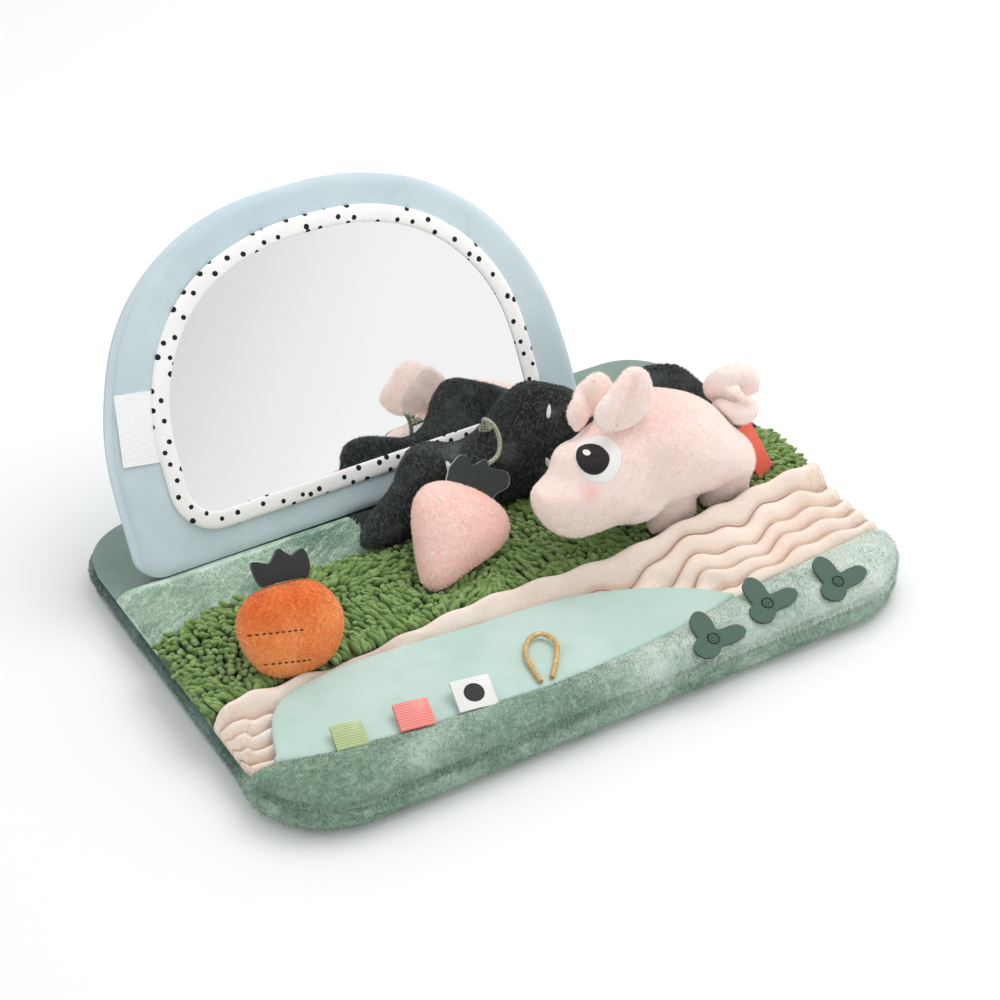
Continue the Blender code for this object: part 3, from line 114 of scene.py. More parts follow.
class Finish:
    """A procedural finish: its nodes are made by one method and joined by plain arithmetic."""

    def __init__(self, name, holder=None):
        self.holder = holder or bpy.data.materials.new(name)
        self.holder.use_nodes = True
        self.nodes = self.holder.node_tree.nodes
        self.links = self.holder.node_tree.links
        self.nodes.clear()

    def node(self, kind, settings=None, sockets=None, out=0):
        made = self.nodes.new(kind)
        for key, value in (settings or {}).items():
            setattr(made, key, value)
        for key, value in (sockets or {}).items():
            slot = made.inputs[key]
            if isinstance(value, Wire):
                self.links.new(value.socket, slot)
            elif slot.type == "RGBA" and len(value) == 3:
                slot.default_value = (*value, 1.0)
            else:
                slot.default_value = value
        return Wire(self, made.outputs[out]) if made.outputs else made

    def place(self, scale=(1.0, 1.0, 1.0), turn=(0.0, 0.0, 0.0)):
        """Where a point lies on the piece, in metres, turned and stretched to follow a weave or a nap."""
        at = self.node("ShaderNodeTexCoord", out="Object")
        at = self.node("ShaderNodeMapping", {"vector_type": "TEXTURE"}, {"Vector": at, "Rotation": turn})
        return self.node("ShaderNodeVectorMath", {"operation": "MULTIPLY"}, {0: at, 1: scale})

    def cloud(self, scale, detail=2.0, at=None, rough=0.5):
        """Soft random shade from 0 to 1; its patches are one over the scale across."""
        return self.node("ShaderNodeTexNoise", {}, {"Vector": at or self.place(), "Scale": scale,
                                                    "Detail": detail, "Roughness": rough})

    def part(self, value, low, high):
        """How far a value has come from low to high, held between 0 and 1."""
        return self.node("ShaderNodeMapRange", {"interpolation_type": "SMOOTHSTEP"},
                         {"Value": value, "From Min": low, "From Max": high})

    def mix(self, share, first, second):
        return self.node("ShaderNodeMix", {"data_type": "RGBA"}, {0: share, 6: first, 7: second}, 2)

    def axis(self, at, which):
        return self.node("ShaderNodeSeparateXYZ", {}, {0: at}, which)

    def cover(self, colour, roughness=0.9, height=None, depth=0.001, strength=1.0, **plain):
        """The surface itself; height is the relief in shares of the depth in metres."""
        sockets = {"Base Color": colour, "Roughness": roughness, "Specular IOR Level": 0.3}
        sockets.update({key.replace("_", " "): value for key, value in plain.items()})
        if height is not None:
            sockets["Normal"] = self.node("ShaderNodeBump", {}, {"Height": height, "Distance": depth,
                                                                 "Strength": strength})
        shader = self.node("ShaderNodeBsdfPrincipled", {}, sockets)
        self.node("ShaderNodeOutputMaterial", {}, {"Surface": shader})
        return self.holder


TABLE_HALF = 6.0
HIGH_FRONT = (-0.30, -0.62, 0.72)
board = bpy.data.objects.new("table_top", bpy.data.meshes.new("table_top"))
board.data.from_pydata([(x * TABLE_HALF, y * TABLE_HALF, 0) for x, y in ((-1, -1), (1, -1), (1, 1), (-1, 1))],
                       [], [(0, 1, 2, 3)])
bpy.context.scene.collection.objects.link(board)
white = Finish("table_white")
board.data.materials.append(white.cover((0.93, 0.93, 0.93), 1.0, Specular_IOR_Level=0.0))

walls = bpy.data.worlds.new("white_walls")
bpy.context.scene.world = walls
walls.use_nodes = True
room = Finish("white_walls", walls)
toward = room.node("ShaderNodeTexCoord", out="Generated")
height = room.node("ShaderNodeVectorMath", {"operation": "DOT_PRODUCT"}, {0: toward, 1: HIGH_FRONT}, 1)
wall = room.mix(room.part(height, 0.645, 0.720), (1.0, 1.0, 1.0), (0.76, 0.76, 0.77))
wall = room.node("ShaderNodeBackground", {}, {"Color": wall, "Strength": 0.93})
room.node("ShaderNodeOutputWorld", {}, {"Surface": wall})

lamp = bpy.data.objects.new("wide_lamp", bpy.data.lights.new("wide_lamp", "AREA"))
lamp.data.energy = 8.0
lamp.data.size = 1.0
lamp.location = (0.55, 0.05, 1.35)
aim(lamp, (0.0, 0.0, 0.05))
bpy.context.scene.collection.objects.link(lamp)


# Base tray
# Dark green twill sewn into a shallow tray under the mat. Its rim is turned up round the sides and holds
# the foam board and the edge of the plush.
MAT_LENGTH = 0.380
MAT_DEPTH = 0.262
FRONT_CORNER = 0.045
REAR_CORNER = 0.036
RIM_HEIGHT = 0.006
TWILL = 0.0016
ARC_STEPS = 16
SIDE_STEPS = (80, 56)


def sew(name, points, faces, body, finish, slot, nodes=(), sharp=60, at=None):
    """Turn points and faces into a shaded piece that rides on its body and stands for its nodes."""
    mesh = bpy.data.meshes.new(name)
    mesh.from_pydata([tuple(p) for p in points], [], faces)
    piece = bpy.data.objects.new(name, mesh)
    if at is not None:
        piece.matrix_world = at
    bpy.context.scene.collection.objects.link(piece)
    return fasten(piece, body, finish, nodes, sharp)


def fasten(piece, body, finish, nodes=(), sharp=60):
    """Give a piece its outward faces, finish, body and the nodes that it stands for."""
    work = bmesh.new()
    work.from_mesh(piece.data)
    bmesh.ops.recalc_face_normals(work, faces=work.faces[:])
    work.to_mesh(piece.data)
    work.free()
    if finish is not None:
        piece.data.materials.clear()
        piece.data.materials.append(finish)
    piece.data.shade_smooth()
    if sharp:
        piece.data.set_sharp_from_angle(angle=math.radians(sharp))
    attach(piece, body)
    if nodes:
        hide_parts(*nodes)
    return piece


def loft(loops, closed=False):
    """Points and faces of a skin through loops of equal count, with its ends filled."""
    count = len(loops[0])
    faces = []
    for i in range(len(loops) - (0 if closed else 1)):
        low, high = i * count, (i + 1) % len(loops) * count
        faces += [(low + k, low + (k + 1) % count, high + (k + 1) % count, high + k) for k in range(count)]
    if not closed:
        faces += [tuple(range(count)), tuple((len(loops) - 1) * count + k for k in range(count))]
    return [point for loop in loops for point in loop], faces


def mat_edge(inset, level, wander=0.0):
    """The mat's rounded outline at one level, as points about 3 mm apart."""
    loop = []
    half_x, half_y = MAT_LENGTH / 2 - inset, MAT_DEPTH / 2 - inset
    corners = ((1, -1, FRONT_CORNER), (1, 1, REAR_CORNER), (-1, 1, REAR_CORNER), (-1, -1, FRONT_CORNER))
    arcs = []
    for turn, (side, end, radius) in enumerate(corners):
        radius -= inset
        x, y = side * (half_x - radius), end * (half_y - radius)
        angles = [math.radians(90 * (turn - 1 + step / ARC_STEPS)) for step in range(ARC_STEPS + 1)]
        arcs.append([Vector((x + radius * math.cos(a), y + radius * math.sin(a), level)) for a in angles])
    for number, arc in enumerate(arcs):
        steps, following = SIDE_STEPS[number % 2], arcs[(number + 1) % len(arcs)]
        loop += arc[:-1] + [arc[-1].lerp(following[0], step / steps) for step in range(steps)]
    if wander:
        for point in loop:
            out = Vector((point.x, point.y, 0.0)).normalized()
            point += out * wander * noise.noise(Vector((point.x, point.y, level * 3)) * 40)
    return loop


def twill_finish(name, colour, dark):
    """Cotton twill: fine slanting ribs, a little worn and uneven."""
    cloth = Finish(name)
    at = cloth.place()
    x, y, z = cloth.axis(at, 0), cloth.axis(at, 1), cloth.axis(at, 2)
    rib = ((x + y + z) * 4400.0).sine() * 0.5 + 0.5
    shade = cloth.mix(rib * 0.35 + cloth.cloud(60, 4) * 0.5, colour, dark)
    return cloth.cover(shade, 0.85, rib * 0.6 + cloth.cloud(2500, 1) * 0.6, 0.0003, 0.8, Sheen_Weight=0.15)


dark_twill = twill_finish("dark_twill", paint(150, 169, 159), paint(116, 137, 128))
tray_loops = [mat_edge(inset, level) for inset, level in (
    (0.0032, 0.0), (0.0014, 0.0003), (0.0004, 0.0010), (0.0, 0.0020), (-0.0002, RIM_HEIGHT - 0.0008),
    (0.0002, RIM_HEIGHT - 0.0002), (0.0008, RIM_HEIGHT), (TWILL, RIM_HEIGHT - 0.0006), (TWILL, TWILL))]
sew("base_tray_twill", *loft(tray_loops), "mat", dark_twill, "twill", ["base_tray"])


# Foam board
# A flat board of closed foam that keeps the mat in shape. It lies loose, hidden between the tray and the
# plush.
def foam_finish(name):
    foam = Finish(name)
    cell = foam.node("ShaderNodeTexVoronoi", {}, {"Vector": foam.place(), "Scale": 900.0})
    shade = foam.mix(foam.cloud(30), paint(232, 230, 222), paint(214, 212, 202))
    return foam.cover(shade, 0.95, cell, 0.0004)


foam_board = foam_finish("foam_board")
core_loops = [mat_edge(inset, level) for inset, level in (
    (0.0070, 0.0019), (0.0063, 0.0024), (0.0063, 0.0159), (0.0070, 0.0164))]
core = sew("base_core_foam", *loft(core_loops), "mat", foam_board, "foam", ["base_core"])


# Side band
# Soft dark green plush round the mat's edge, sewn between the tray's rim and the pads above. In front it
# swells under the border and takes the border's colour.
def plush_finish(name, base, light, dark, nap=(0.35, 1.0, 1.0), streak=260.0, fuzz=1500.0, depth=0.0011,
                 sheen=0.35, turn=(0.0, 0.0, 0.0), lift=0.5, pools=26.0, lie=1.0, toward=None, blush=(),
                 valley_shade=None):
    """Short plush: clouds where the pile lies differently, streaks along the nap, fine fuzz, and painted
    shade in the seams of sewn channels where asked.
    """
    pile = Finish(name)
    at = pile.place()
    patch = pile.part(pile.cloud(pools, 3, at), 0.36, 0.64)
    lay = pile.place(nap, turn)
    stroke = pile.cloud(streak, 3, lay, 0.65)
    grain = pile.cloud(fuzz, 2, lay, 0.6)
    if toward:
        along, start, end, other = toward
        share = pile.part(pile.axis(at, along), start, end)
        base, light, dark = (pile.mix(share, own, later) for own, later in (
            (base, other["base"]), (light, other["light"]), (dark, other["dark"])))
    shade = pile.mix(1.0 - (1.0 - patch) * lie, dark, base)
    shade = pile.mix(pile.part(pile.cloud(pools * 1.7, 2, at), 0.52, 0.70) * lie * 0.5, shade, light)
    shade = pile.mix(pile.part(stroke * 0.6 + grain * 0.4, 0.46, 0.66) * lift, shade, light)
    shade = pile.mix(pile.part(grain, 0.50, 0.28) * 0.35 * lie, shade, dark)
    # Painted shade: darker towards each channel seam, read from the crest attribute.
    if valley_shade:
        crest = pile.node("ShaderNodeAttribute", {"attribute_name": "crest"}, {}, 2)
        shade = pile.mix(pile.part(crest, 0.62, 0.05) * 0.5, shade, valley_shade)
    for spot, reach, colour in blush:
        far = pile.node("ShaderNodeVectorMath", {"operation": "DISTANCE"}, {0: at, 1: spot}, 1)
        shade = pile.mix(pile.part(far, reach, 0.0) * 0.5, shade, colour)
    return pile.cover(shade, 0.95, stroke * 0.55 + grain * 0.45, depth, 0.9, Sheen_Weight=sheen,
                      Sheen_Roughness=0.5)


def eased(t):
    """A share from 0 to 1 that starts and ends gently."""
    t = min(max(t, 0.0), 1.0)
    return t * t * (3 - 2 * t)


def front_share(place):
    """0 along the mat's rear and sides, 1 round its front, where the band swells under the border."""
    return eased((-0.070 - place.y) / 0.030)


STRAY = (0.35, 0.35, 0.2)
ROOT_DEPTH = 0.0003


def with_pile(points, faces, count, length, width, lean, seed, near=None):
    """Add loose pile to a skin: thin blades rooted over its upper faces, leaning with the nap."""
    chance = random.Random(seed)
    areas, total = [], 0.0
    for face in faces:
        a, b, c = (points[k] for k in face[:3])
        across = (b - a).cross(c - b)
        normal = across.normalized() if across.length > 0 else Vector((0, 0, 1))
        middle = sum((points[k] for k in face), Vector()) / len(face)
        if len(face) == 4 and (near is None or near(middle, normal)):
            total += across.length
        areas.append(total)
    low = 0
    for mark in sorted(chance.random() * total for _ in range(count)):
        while areas[low] < mark:
            low += 1
        a, b, c, d = (points[k] for k in faces[low])
        s, t = chance.random(), chance.random()
        root = a.lerp(b, s).lerp(d.lerp(c, s), t)
        normal = (b - a).cross(c - b).normalized()
        swing = noise.noise(root * 30) * 2.4
        along = Vector((lean[0] * math.cos(swing) - lean[1] * math.sin(swing),
                        lean[0] * math.sin(swing) + lean[1] * math.cos(swing), lean[2]))
        along += Vector([chance.uniform(-stray, stray) for stray in STRAY])
        side = normal.cross(along).normalized() * width / 2
        reach = length * chance.uniform(0.6, 1.15)
        middle = root + (normal * 0.75 + along * 0.45) * reach * 0.5
        tip = middle + (normal * 0.35 + along * 0.85) * reach * 0.5
        base = len(points)
        root = root - normal * ROOT_DEPTH
        points += [root - side, root + side, middle - side * 0.8, middle + side * 0.8, tip]
        faces += [(base, base + 1, base + 3, base + 2), (base + 2, base + 3, base + 4)]
    return points, faces


def side_distance(x, y, bulge=0.0):
    """How far in from the mat's outline a place lies."""
    corner = (FRONT_CORNER if y < 0 else REAR_CORNER) + bulge
    out_x = abs(x) - (MAT_LENGTH / 2 + bulge - corner)
    out_y = abs(y) - (MAT_DEPTH / 2 + bulge - corner)
    return corner - math.hypot(max(out_x, 0.0), max(out_y, 0.0)) - min(max(out_x, out_y), 0.0)


sage = dict(base=paint(166, 192, 172), light=paint(206, 222, 208), dark=paint(122, 154, 130))
band_plush = plush_finish("band_plush", paint(74, 104, 96), paint(116, 144, 134), paint(44, 68, 62),
                          streak=420, toward=(1, -0.072, -0.092, sage))
# Each row holds the band's inset at the sides and in front, then its level at the sides and in front.
BAND_ROWS = (
    (0.0010, 0.0010, 0.0064, 0.0064), (-0.0006, -0.0008, 0.0078, 0.0034),
    (-0.0015, -0.0026, 0.0100, 0.0044), (-0.0017, -0.0036, 0.0122, 0.0080),
    (-0.0012, -0.0038, 0.0146, 0.0128), (0.0010, -0.0034, 0.0163, 0.0165),
    (0.0060, 0.0060, 0.0164, 0.0164), (0.0060, 0.0060, 0.0064, 0.0064))
band_loops = []
for side_inset, front_inset, side_level, front_level in BAND_ROWS:
    beside = mat_edge(side_inset, side_level, 0.0012 if side_inset < 0 else 0.0)
    ahead = mat_edge(front_inset, front_level, 0.0008 if front_inset < -0.002 else 0.0)
    band_loops.append([p.lerp(q, front_share(p)) for p, q in zip(beside, ahead)])
band_mesh = with_pile(*loft(band_loops, closed=True), 12000, 0.0024, 0.0004, (0.1, -0.3, -0.9), 20,
                      lambda p, n: n.z > -0.6 and side_distance(p.x, p.y) < 0.0004)
band = sew("side_band_plush", *band_mesh, "mat", band_plush, "sage_plush", ["side_band"], 0)


# Rear cover
# A strip of the same twill over the mat's rear, behind the fields. The mirror page folds along its front
# seam.
SEAM_GAP = 0.0003
PAD_BOTTOM = 0.0167
LEAST_DEPTH = 0.004
FIELD_CORNER = 0.024
FIELD_REAR = ((-0.50, 0.267), (0.27, 0.267), (0.33, 0.330), (0.40, 0.400), (0.50, 0.400))


def seam_y(curve, x):
    """Smooth seam line across the mat, kept as shares of the mat's length and depth."""
    at = x / MAT_LENGTH
    if at <= curve[0][0]:
        return MAT_DEPTH * curve[0][1]
    if at >= curve[-1][0]:
        return MAT_DEPTH * curve[-1][1]
    i = max(k for k in range(len(curve) - 1) if curve[k][0] <= at)

    def slope(k):
        low, high = max(k - 1, 0), min(k + 1, len(curve) - 1)
        return (curve[high][1] - curve[low][1]) / (curve[high][0] - curve[low][0])

    span = curve[i + 1][0] - curve[i][0]
    t = (at - curve[i][0]) / span
    rise = curve[i + 1][1] - curve[i][1]
    start, end = slope(i) * span, slope(i + 1) * span
    return MAT_DEPTH * (curve[i][1] + start * t + (3 * rise - 2 * start - end) * t ** 2
                        + (start + end - 2 * rise) * t ** 3)


def field_rear(x):
    """Seam between the fields and the rear cover, rounded at the mat's right end."""
    over = x - (MAT_LENGTH / 2 - FIELD_CORNER)
    curl = FIELD_CORNER - math.sqrt(max(FIELD_CORNER ** 2 - over ** 2, 0.0)) if over > 0 else 0.0
    return seam_y(FIELD_REAR, x) - curl


def outline_y(x, end, corner, bulge=0.0):
    """The mat's outline in front (-1) or behind (1), at a place along its length."""
    over = abs(x) - (MAT_LENGTH / 2 - corner)
    radius = corner + bulge
    curl = radius - math.sqrt(max(radius ** 2 - over ** 2, 0.0)) if over > 0 else 0.0
    return end * (MAT_DEPTH / 2 + bulge - curl)


def grid_rim(columns, rows):
    """Numbers of a grid's outer points, in order round its rim."""
    rim = [column * rows for column in range(columns)]
    rim += [(columns - 1) * rows + row for row in range(1, rows)]
    rim += [column * rows + rows - 1 for column in range(columns - 2, -1, -1)]
    return rim + list(range(rows - 2, 0, -1))


def pad(stations, rows, front, back, top, base=PAD_BOTTOM, place=None):
    """Closed pad on a fine grid: a shaped top between two seam lines, over a flat underside."""
    points, faces = [], []
    for x in stations:
        low, high = front(x), back(x)
        for share in rows:
            y = place(x, share) if place else low + (high - low) * share
            points.append(Vector((x, y, top(x, y))))
    count = len(rows)
    for i in range(len(stations) - 1):
        for j in range(count - 1):
            a = i * count + j
            faces.append((a, a + count, a + count + 1, a + 1))
    rim = grid_rim(len(stations), count)
    under, around = len(points), len(rim)
    points += [Vector((points[k].x, points[k].y, base)) for k in rim]
    for k, corner in enumerate(rim):
        following = (k + 1) % around
        faces.append((corner, rim[following], under + following, under + k))
    faces.append(tuple(range(under, under + around)))
    return points, faces


def between(low, high, step):
    """Stations from low to high, about a step apart."""
    count = max(2, round((high - low) / step))
    return [low + (high - low) * i / count for i in range(count + 1)]


def edge_rows(count):
    """Row places from 0 to 1 that crowd towards both seams."""
    return [(1 - math.cos(math.pi * i / count)) / 2 for i in range(count + 1)]


def roundness(distance, radius):
    """How high a rounded edge has come at a distance in from it, from 0 to 1."""
    t = min(max(distance / radius, 0.0), 1.0)
    return math.sqrt(1 - (1 - t) ** 2)


rear_reach = MAT_LENGTH / 2
while outline_y(rear_reach, 1, REAR_CORNER) - field_rear(rear_reach) < LEAST_DEPTH:
    rear_reach -= SEAM_GAP
rear_mesh = pad(between(-rear_reach, rear_reach, 0.003), edge_rows(20), lambda x: field_rear(x) + SEAM_GAP,
                lambda x: outline_y(x, 1, REAR_CORNER),
                lambda x, y: PAD_BOTTOM + TWILL + 0.0005 * noise.noise(Vector((x, y, 0.3)) * 38))
sew("rear_cover_twill", *rear_mesh, "mat", dark_twill, "twill", ["rear_cover"])


# Front border
# A fat roll of sage plush along the front, stuffed between two seams. Its pile is brushed both ways and
# hangs over the joint with the band below. Its colours are painted paler towards its right end, as painted
# light.
BORDER_BULGE = 0.004
BORDER_RISE = 0.0145
BORDER_DROP = 0.003
PLUSH_SIDE = 0.0025
BORDER_SEAM = ((-0.50, -0.360), (-0.40, -0.405), (-0.24, -0.432), (-0.06, -0.449),
               (0.12, -0.432), (0.25, -0.402), (0.40, -0.382), (0.50, -0.370))


def border_seam(x):
    return seam_y(BORDER_SEAM, x)


def border_top(x, y):
    """Level of the border's skin, round in front, drawn down at its rear seam, and a little lumpy."""
    front = roundness(side_distance(x, y, BORDER_BULGE), BORDER_RISE + BORDER_BULGE)
    back = roundness(border_seam(x) - y, 0.010)
    wave = noise.noise(Vector((x * 26, y * 34, 0.7))) * 0.0016
    wave += noise.noise(Vector((x * 90, y * 90, 2.0))) * 0.0005
    rise = PLUSH_SIDE + (BORDER_RISE - PLUSH_SIDE) * front - BORDER_DROP * (1 - back)
    return PAD_BOTTOM + rise + wave * front * back


border_reach = MAT_LENGTH / 2 + BORDER_BULGE
while border_seam(border_reach) - outline_y(border_reach, -1, FRONT_CORNER, BORDER_BULGE) < LEAST_DEPTH:
    border_reach -= SEAM_GAP
# Painted light: the border's colours pale from left to right, where the lamp lights it more.
sage_painted_light = dict(base=paint(214, 226, 215), light=paint(240, 245, 240), dark=paint(158, 183, 166))
sage_plush = plush_finish("sage_plush", **sage, nap=(0.6, 1.0, 1.0), streak=420, fuzz=1700, depth=0.0008,
                          lift=0.38, pools=17.0, toward=(0, -0.10, 0.15, sage_painted_light))
border_mesh = pad(between(-border_reach, border_reach, 0.0018), edge_rows(30),
                  lambda x: outline_y(x, -1, FRONT_CORNER, BORDER_BULGE), border_seam, border_top)
border_mesh = with_pile(*border_mesh, 24000, 0.0021, 0.0003, (0.35, -0.6, -0.1), 21)
border_mesh = with_pile(*border_mesh, 8000, 0.0034, 0.0003, (0.1, -0.1, -1.3), 24,
                        lambda p, n: p.z < 0.0215 and side_distance(p.x, p.y, BORDER_BULGE) < 0.001)
border = sew("front_border_plush", *border_mesh, "mat", sage_plush, "sage_plush", ["front_border"], sharp=0)


# Ribbed path
# Cream plush sewn into wavy channels that run the mat's length. Its rear edge is an open pocket lip,
# and the pond flap presses it down in front. Painted shade darkens the channels towards their seams.
PATH_EDGE = ((-0.50, -0.190), (-0.40, -0.176), (-0.30, -0.174), (-0.06, -0.168),
             (0.06, -0.180), (0.16, -0.196), (0.24, -0.192), (0.34, -0.168), (0.50, -0.130))
POND_EDGE = ((-0.47, -0.385), (-0.455, -0.310), (-0.435, -0.250), (-0.405, -0.212), (-0.36, -0.194),
             (-0.30, -0.188), (-0.24, -0.194), (-0.12, -0.212), (0.00, -0.228), (0.08, -0.258),
             (0.16, -0.318), (0.198, -0.362), (0.2175, -0.395))
POND_SINK = 0.0045
PRESS_REACH = 0.010
PATH_RISE = 0.0130
CHANNEL_DEPTH = 0.0048
CHANNELS = 5
CHANNEL_WAVE = 0.066
FOLD_WAVE = 0.0275
LIP_RISE = 0.0068
LIP_SWELL = 0.0048
LIP_REACH = 0.0075
PAD_ROUND = 0.010
PATH_ROWS = 80
THREAD_RADIUS = 0.00032


def pond_edge(x):
    return seam_y(POND_EDGE, x)


def path_front(x):
    return max(border_seam(x) + SEAM_GAP, outline_y(x, -1, FRONT_CORNER))


def path_back(x):
    return seam_y(PATH_EDGE, x) - SEAM_GAP


def path_crest(x, y):
    """Level of the channel tops, lower where the pond flap lies on them."""
    left, right = (MAT_LENGTH * POND_EDGE[end][0] for end in (0, -1))
    pressed = eased((x - left + 2 * PRESS_REACH) / PRESS_REACH)
    pressed *= eased((right + 2 * PRESS_REACH - x) / PRESS_REACH)
    reach = max([pond_edge(x + side * PRESS_REACH) for side in (-1, 0, 1)] + [border_seam(x) + 0.008])
    return PAD_BOTTOM + PATH_RISE - POND_SINK * pressed * eased((reach + PRESS_REACH - y) / PRESS_REACH)


def across_channels(x, share):
    """Count of channels passed on the way from the path's lip, which sway from side to side."""
    sway = math.sin(math.tau * x / CHANNEL_WAVE)
    sway += 0.45 * math.sin(math.tau * x / FOLD_WAVE + 0.8 + 2.0 * share)
    sway += 1.2 * noise.noise(Vector((x * 30, share * 2, 6.0)))
    return CHANNELS * (share + 0.045 * sway * math.sin(math.pi * share))


def path_share(x, y):
    """How far a place has come from the path's rear edge to its front seam, from 0 to 1."""
    return (path_back(x) - y) / (path_back(x) - path_front(x))


def channel(x, y):
    """Where a point lies across the sewn channels: 0 in a seam, 1 at a crest."""
    return abs(math.sin(math.pi * across_channels(x, path_share(x, y))))


def path_lip(x, y):
    """Rise of the path's rear edge, an open pocket that stands up in front of the toys' feet."""
    taller = eased((x - 0.02) / 0.05) + 0.6 * math.exp(-((x - 0.095) / 0.030) ** 2)
    behind = path_back(x) - y
    reach = LIP_REACH * (1 + 0.7 * taller)
    clear = eased((y - pond_edge(x)) / 0.004) if x < MAT_LENGTH * POND_EDGE[-1][0] else 1.0
    shape = roundness(behind, 0.0022) * math.exp(-(behind / reach) ** 2)
    return (LIP_RISE + LIP_SWELL * taller) * shape * clear


def path_top(x, y):
    """Level of the path's skin: channels, folds and lip, rounded down at the mat's ends."""
    rib = channel(x, y) ** 0.75
    edge = roundness(side_distance(x, y) + SEAM_GAP, PAD_ROUND)
    side = PAD_BOTTOM + PLUSH_SIDE
    depth = CHANNEL_DEPTH * (1 + 0.8 * eased((abs(x) - 0.13) / 0.045))
    folds = 0.0009 * math.sin(math.tau * x / FOLD_WAVE + 2.0)
    folds += noise.noise(Vector((x * 24, y * 18, 8.0))) * 0.0010
    crest = path_crest(x, y) - depth * (1 - rib) + folds + path_lip(x, y)
    return side + (crest - side) * edge


def path_place(x, share):
    """Row of the path's skin that follows the sewn channels as they sway."""
    wanted = 1 - share
    passed = wanted
    for _ in range(8):
        passed -= across_channels(x, passed) / CHANNELS - wanted
    return path_back(x) + SEAM_GAP * share - passed * (path_back(x) - path_front(x))


# The last colour is painted shade for the channel seams.
cream_plush = plush_finish("cream_plush", paint(249, 233, 219), paint(254, 245, 237), paint(236, 210, 190),
                           nap=(1.0, 0.6, 1.0), streak=520, fuzz=2000, depth=0.0007, lift=0.5, lie=0.6,
                           valley_shade=paint(190, 152, 126))
path_mesh = pad(between(-MAT_LENGTH / 2, MAT_LENGTH / 2, 0.0016),
                [row / PATH_ROWS for row in range(PATH_ROWS + 1)],
                path_front, path_back, path_top, place=path_place)
skin_points = len(path_mesh[0])
path_mesh = with_pile(*path_mesh, 12000, 0.0010, 0.0003, (0.3, -0.5, 0.0), 22,
                      lambda p, n: n.z < 0.8 and (abs(p.x) > 0.175 or path_back(p.x) - p.y < 0.0005))
path = sew("path_plush", *path_mesh, "mat", cream_plush, "sand_plush", ["path_pad"], sharp=0)
# Each point's place across the channels, from which the finish paints shade into the seams.
crest = path.data.attributes.new("crest", "FLOAT", "POINT")
for vertex, mark in zip(path.data.vertices, crest.data):
    mark.value = channel(vertex.co.x, vertex.co.y) if vertex.index < skin_points else 1.0


def hoop(middle, side, other, radius, sides):
    """Points of a round loop about a middle, across two directions."""
    turns = [math.tau * k / sides for k in range(sides)]
    return [middle + (side * math.cos(a) + other * math.sin(a)) * radius for a in turns]


def heading(route, number):
    """Direction in which a route runs at one of its points."""
    return (route[min(number + 1, len(route) - 1)] - route[max(number - 1, 0)]).normalized()


def thread_line(route, radius):
    """A thread laid along a route, as a thin five sided tube."""
    loops = []
    for number, place in enumerate(route):
        ahead = heading(route, number)
        side = ahead.cross(Vector((0, 0, 1))).normalized()
        loops.append(hoop(place, side, side.cross(ahead), radius, 5))
    return loft(loops)


seam_thread = Finish("seam_thread").cover(paint(172, 138, 114), 0.9)
for number in range(1, CHANNELS):
    route = []
    for x in between(-MAT_LENGTH / 2 + 0.002, MAT_LENGTH / 2 - 0.002, 0.0016):
        y = path_place(x, 1 - number / CHANNELS)
        route.append(Vector((x, y, path_top(x, y) + 0.0002)))
    sew("path_seam_%d" % number, *thread_line(route, THREAD_RADIUS), "mat", seam_thread, "sand_plush", (), 0)


# Grass
# Thick chenille pile: soft green strands as long as a fingernail, looped row by row into a backing that is
# sewn down in two pieces between the path and the fields. The toys press it down.
GRASS_EDGE = ((-0.50, 0.065), (-0.38, 0.092), (-0.24, 0.110), (0.10, 0.110), (0.30, 0.090), (0.50, 0.045))
GRASS_BASE = 0.0078
STRAND_REACH = 0.0092
STRAND_RADIUS = 0.00180
STRAND_SWELL = (0.62, 0.92, 1.05, 1.0, 0.86, 0.50)
STRAND_PITCH = 0.0030
LEAST_STRAND = 0.0035


def grass_back(x):
    return seam_y(GRASS_EDGE, x) - SEAM_GAP


def grass_floor(x, y):
    """Level of the backing that the strands are rooted in."""
    side = PAD_BOTTOM + PLUSH_SIDE
    return side + (GRASS_BASE - PLUSH_SIDE) * roundness(side_distance(x, y) + SEAM_GAP, PAD_ROUND)


def solid_tree(*names):
    """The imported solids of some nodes, to keep soft pieces clear of what stands on them."""
    points, faces = [], []
    for name in names:
        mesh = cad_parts[name].data
        faces += [tuple(len(points) + k for k in face.vertices) for face in mesh.polygons]
        points += [vertex.co.copy() for vertex in mesh.vertices]
    return BVHTree.FromPolygons(points, faces)


def strand(points, faces, root, lean, reach, radius, chance):
    """One chenille strand: a soft finger that rises from its root and bends over."""
    sides, joints = 6, len(STRAND_SWELL) - 1
    bend = chance.uniform(0.9, 1.5)
    curl = Vector((-lean.y, lean.x, 0.0)) * chance.uniform(-0.35, 0.35)
    spine = []
    for step in range(joints + 1):
        t = step / joints
        out = lean * (1 - math.cos(bend * t)) / bend + curl * t * t * 0.5
        spine.append(root + (out + Vector((0, 0, math.sin(bend * t) / bend))) * reach)
    base = len(points)
    for step, place in enumerate(spine):
        ahead = heading(spine, step)
        side = ahead.cross(Vector((0.31, 0.95, 0.05))).normalized()
        swell = STRAND_SWELL[step] * radius * chance.uniform(0.9, 1.1)
        points.extend(hoop(place, side, ahead.cross(side), swell, sides))
    for step in range(joints):
        for k in range(sides):
            a, b = base + step * sides + k, base + step * sides + (k + 1) % sides
            faces.append((a, b, b + sides, a + sides))
    tip, last = len(points), base + joints * sides
    points.append(spine[-1] + (spine[-1] - spine[-2]).normalized() * radius * 0.55)
    faces.extend((last + k, last + (k + 1) % sides, tip) for k in range(sides))


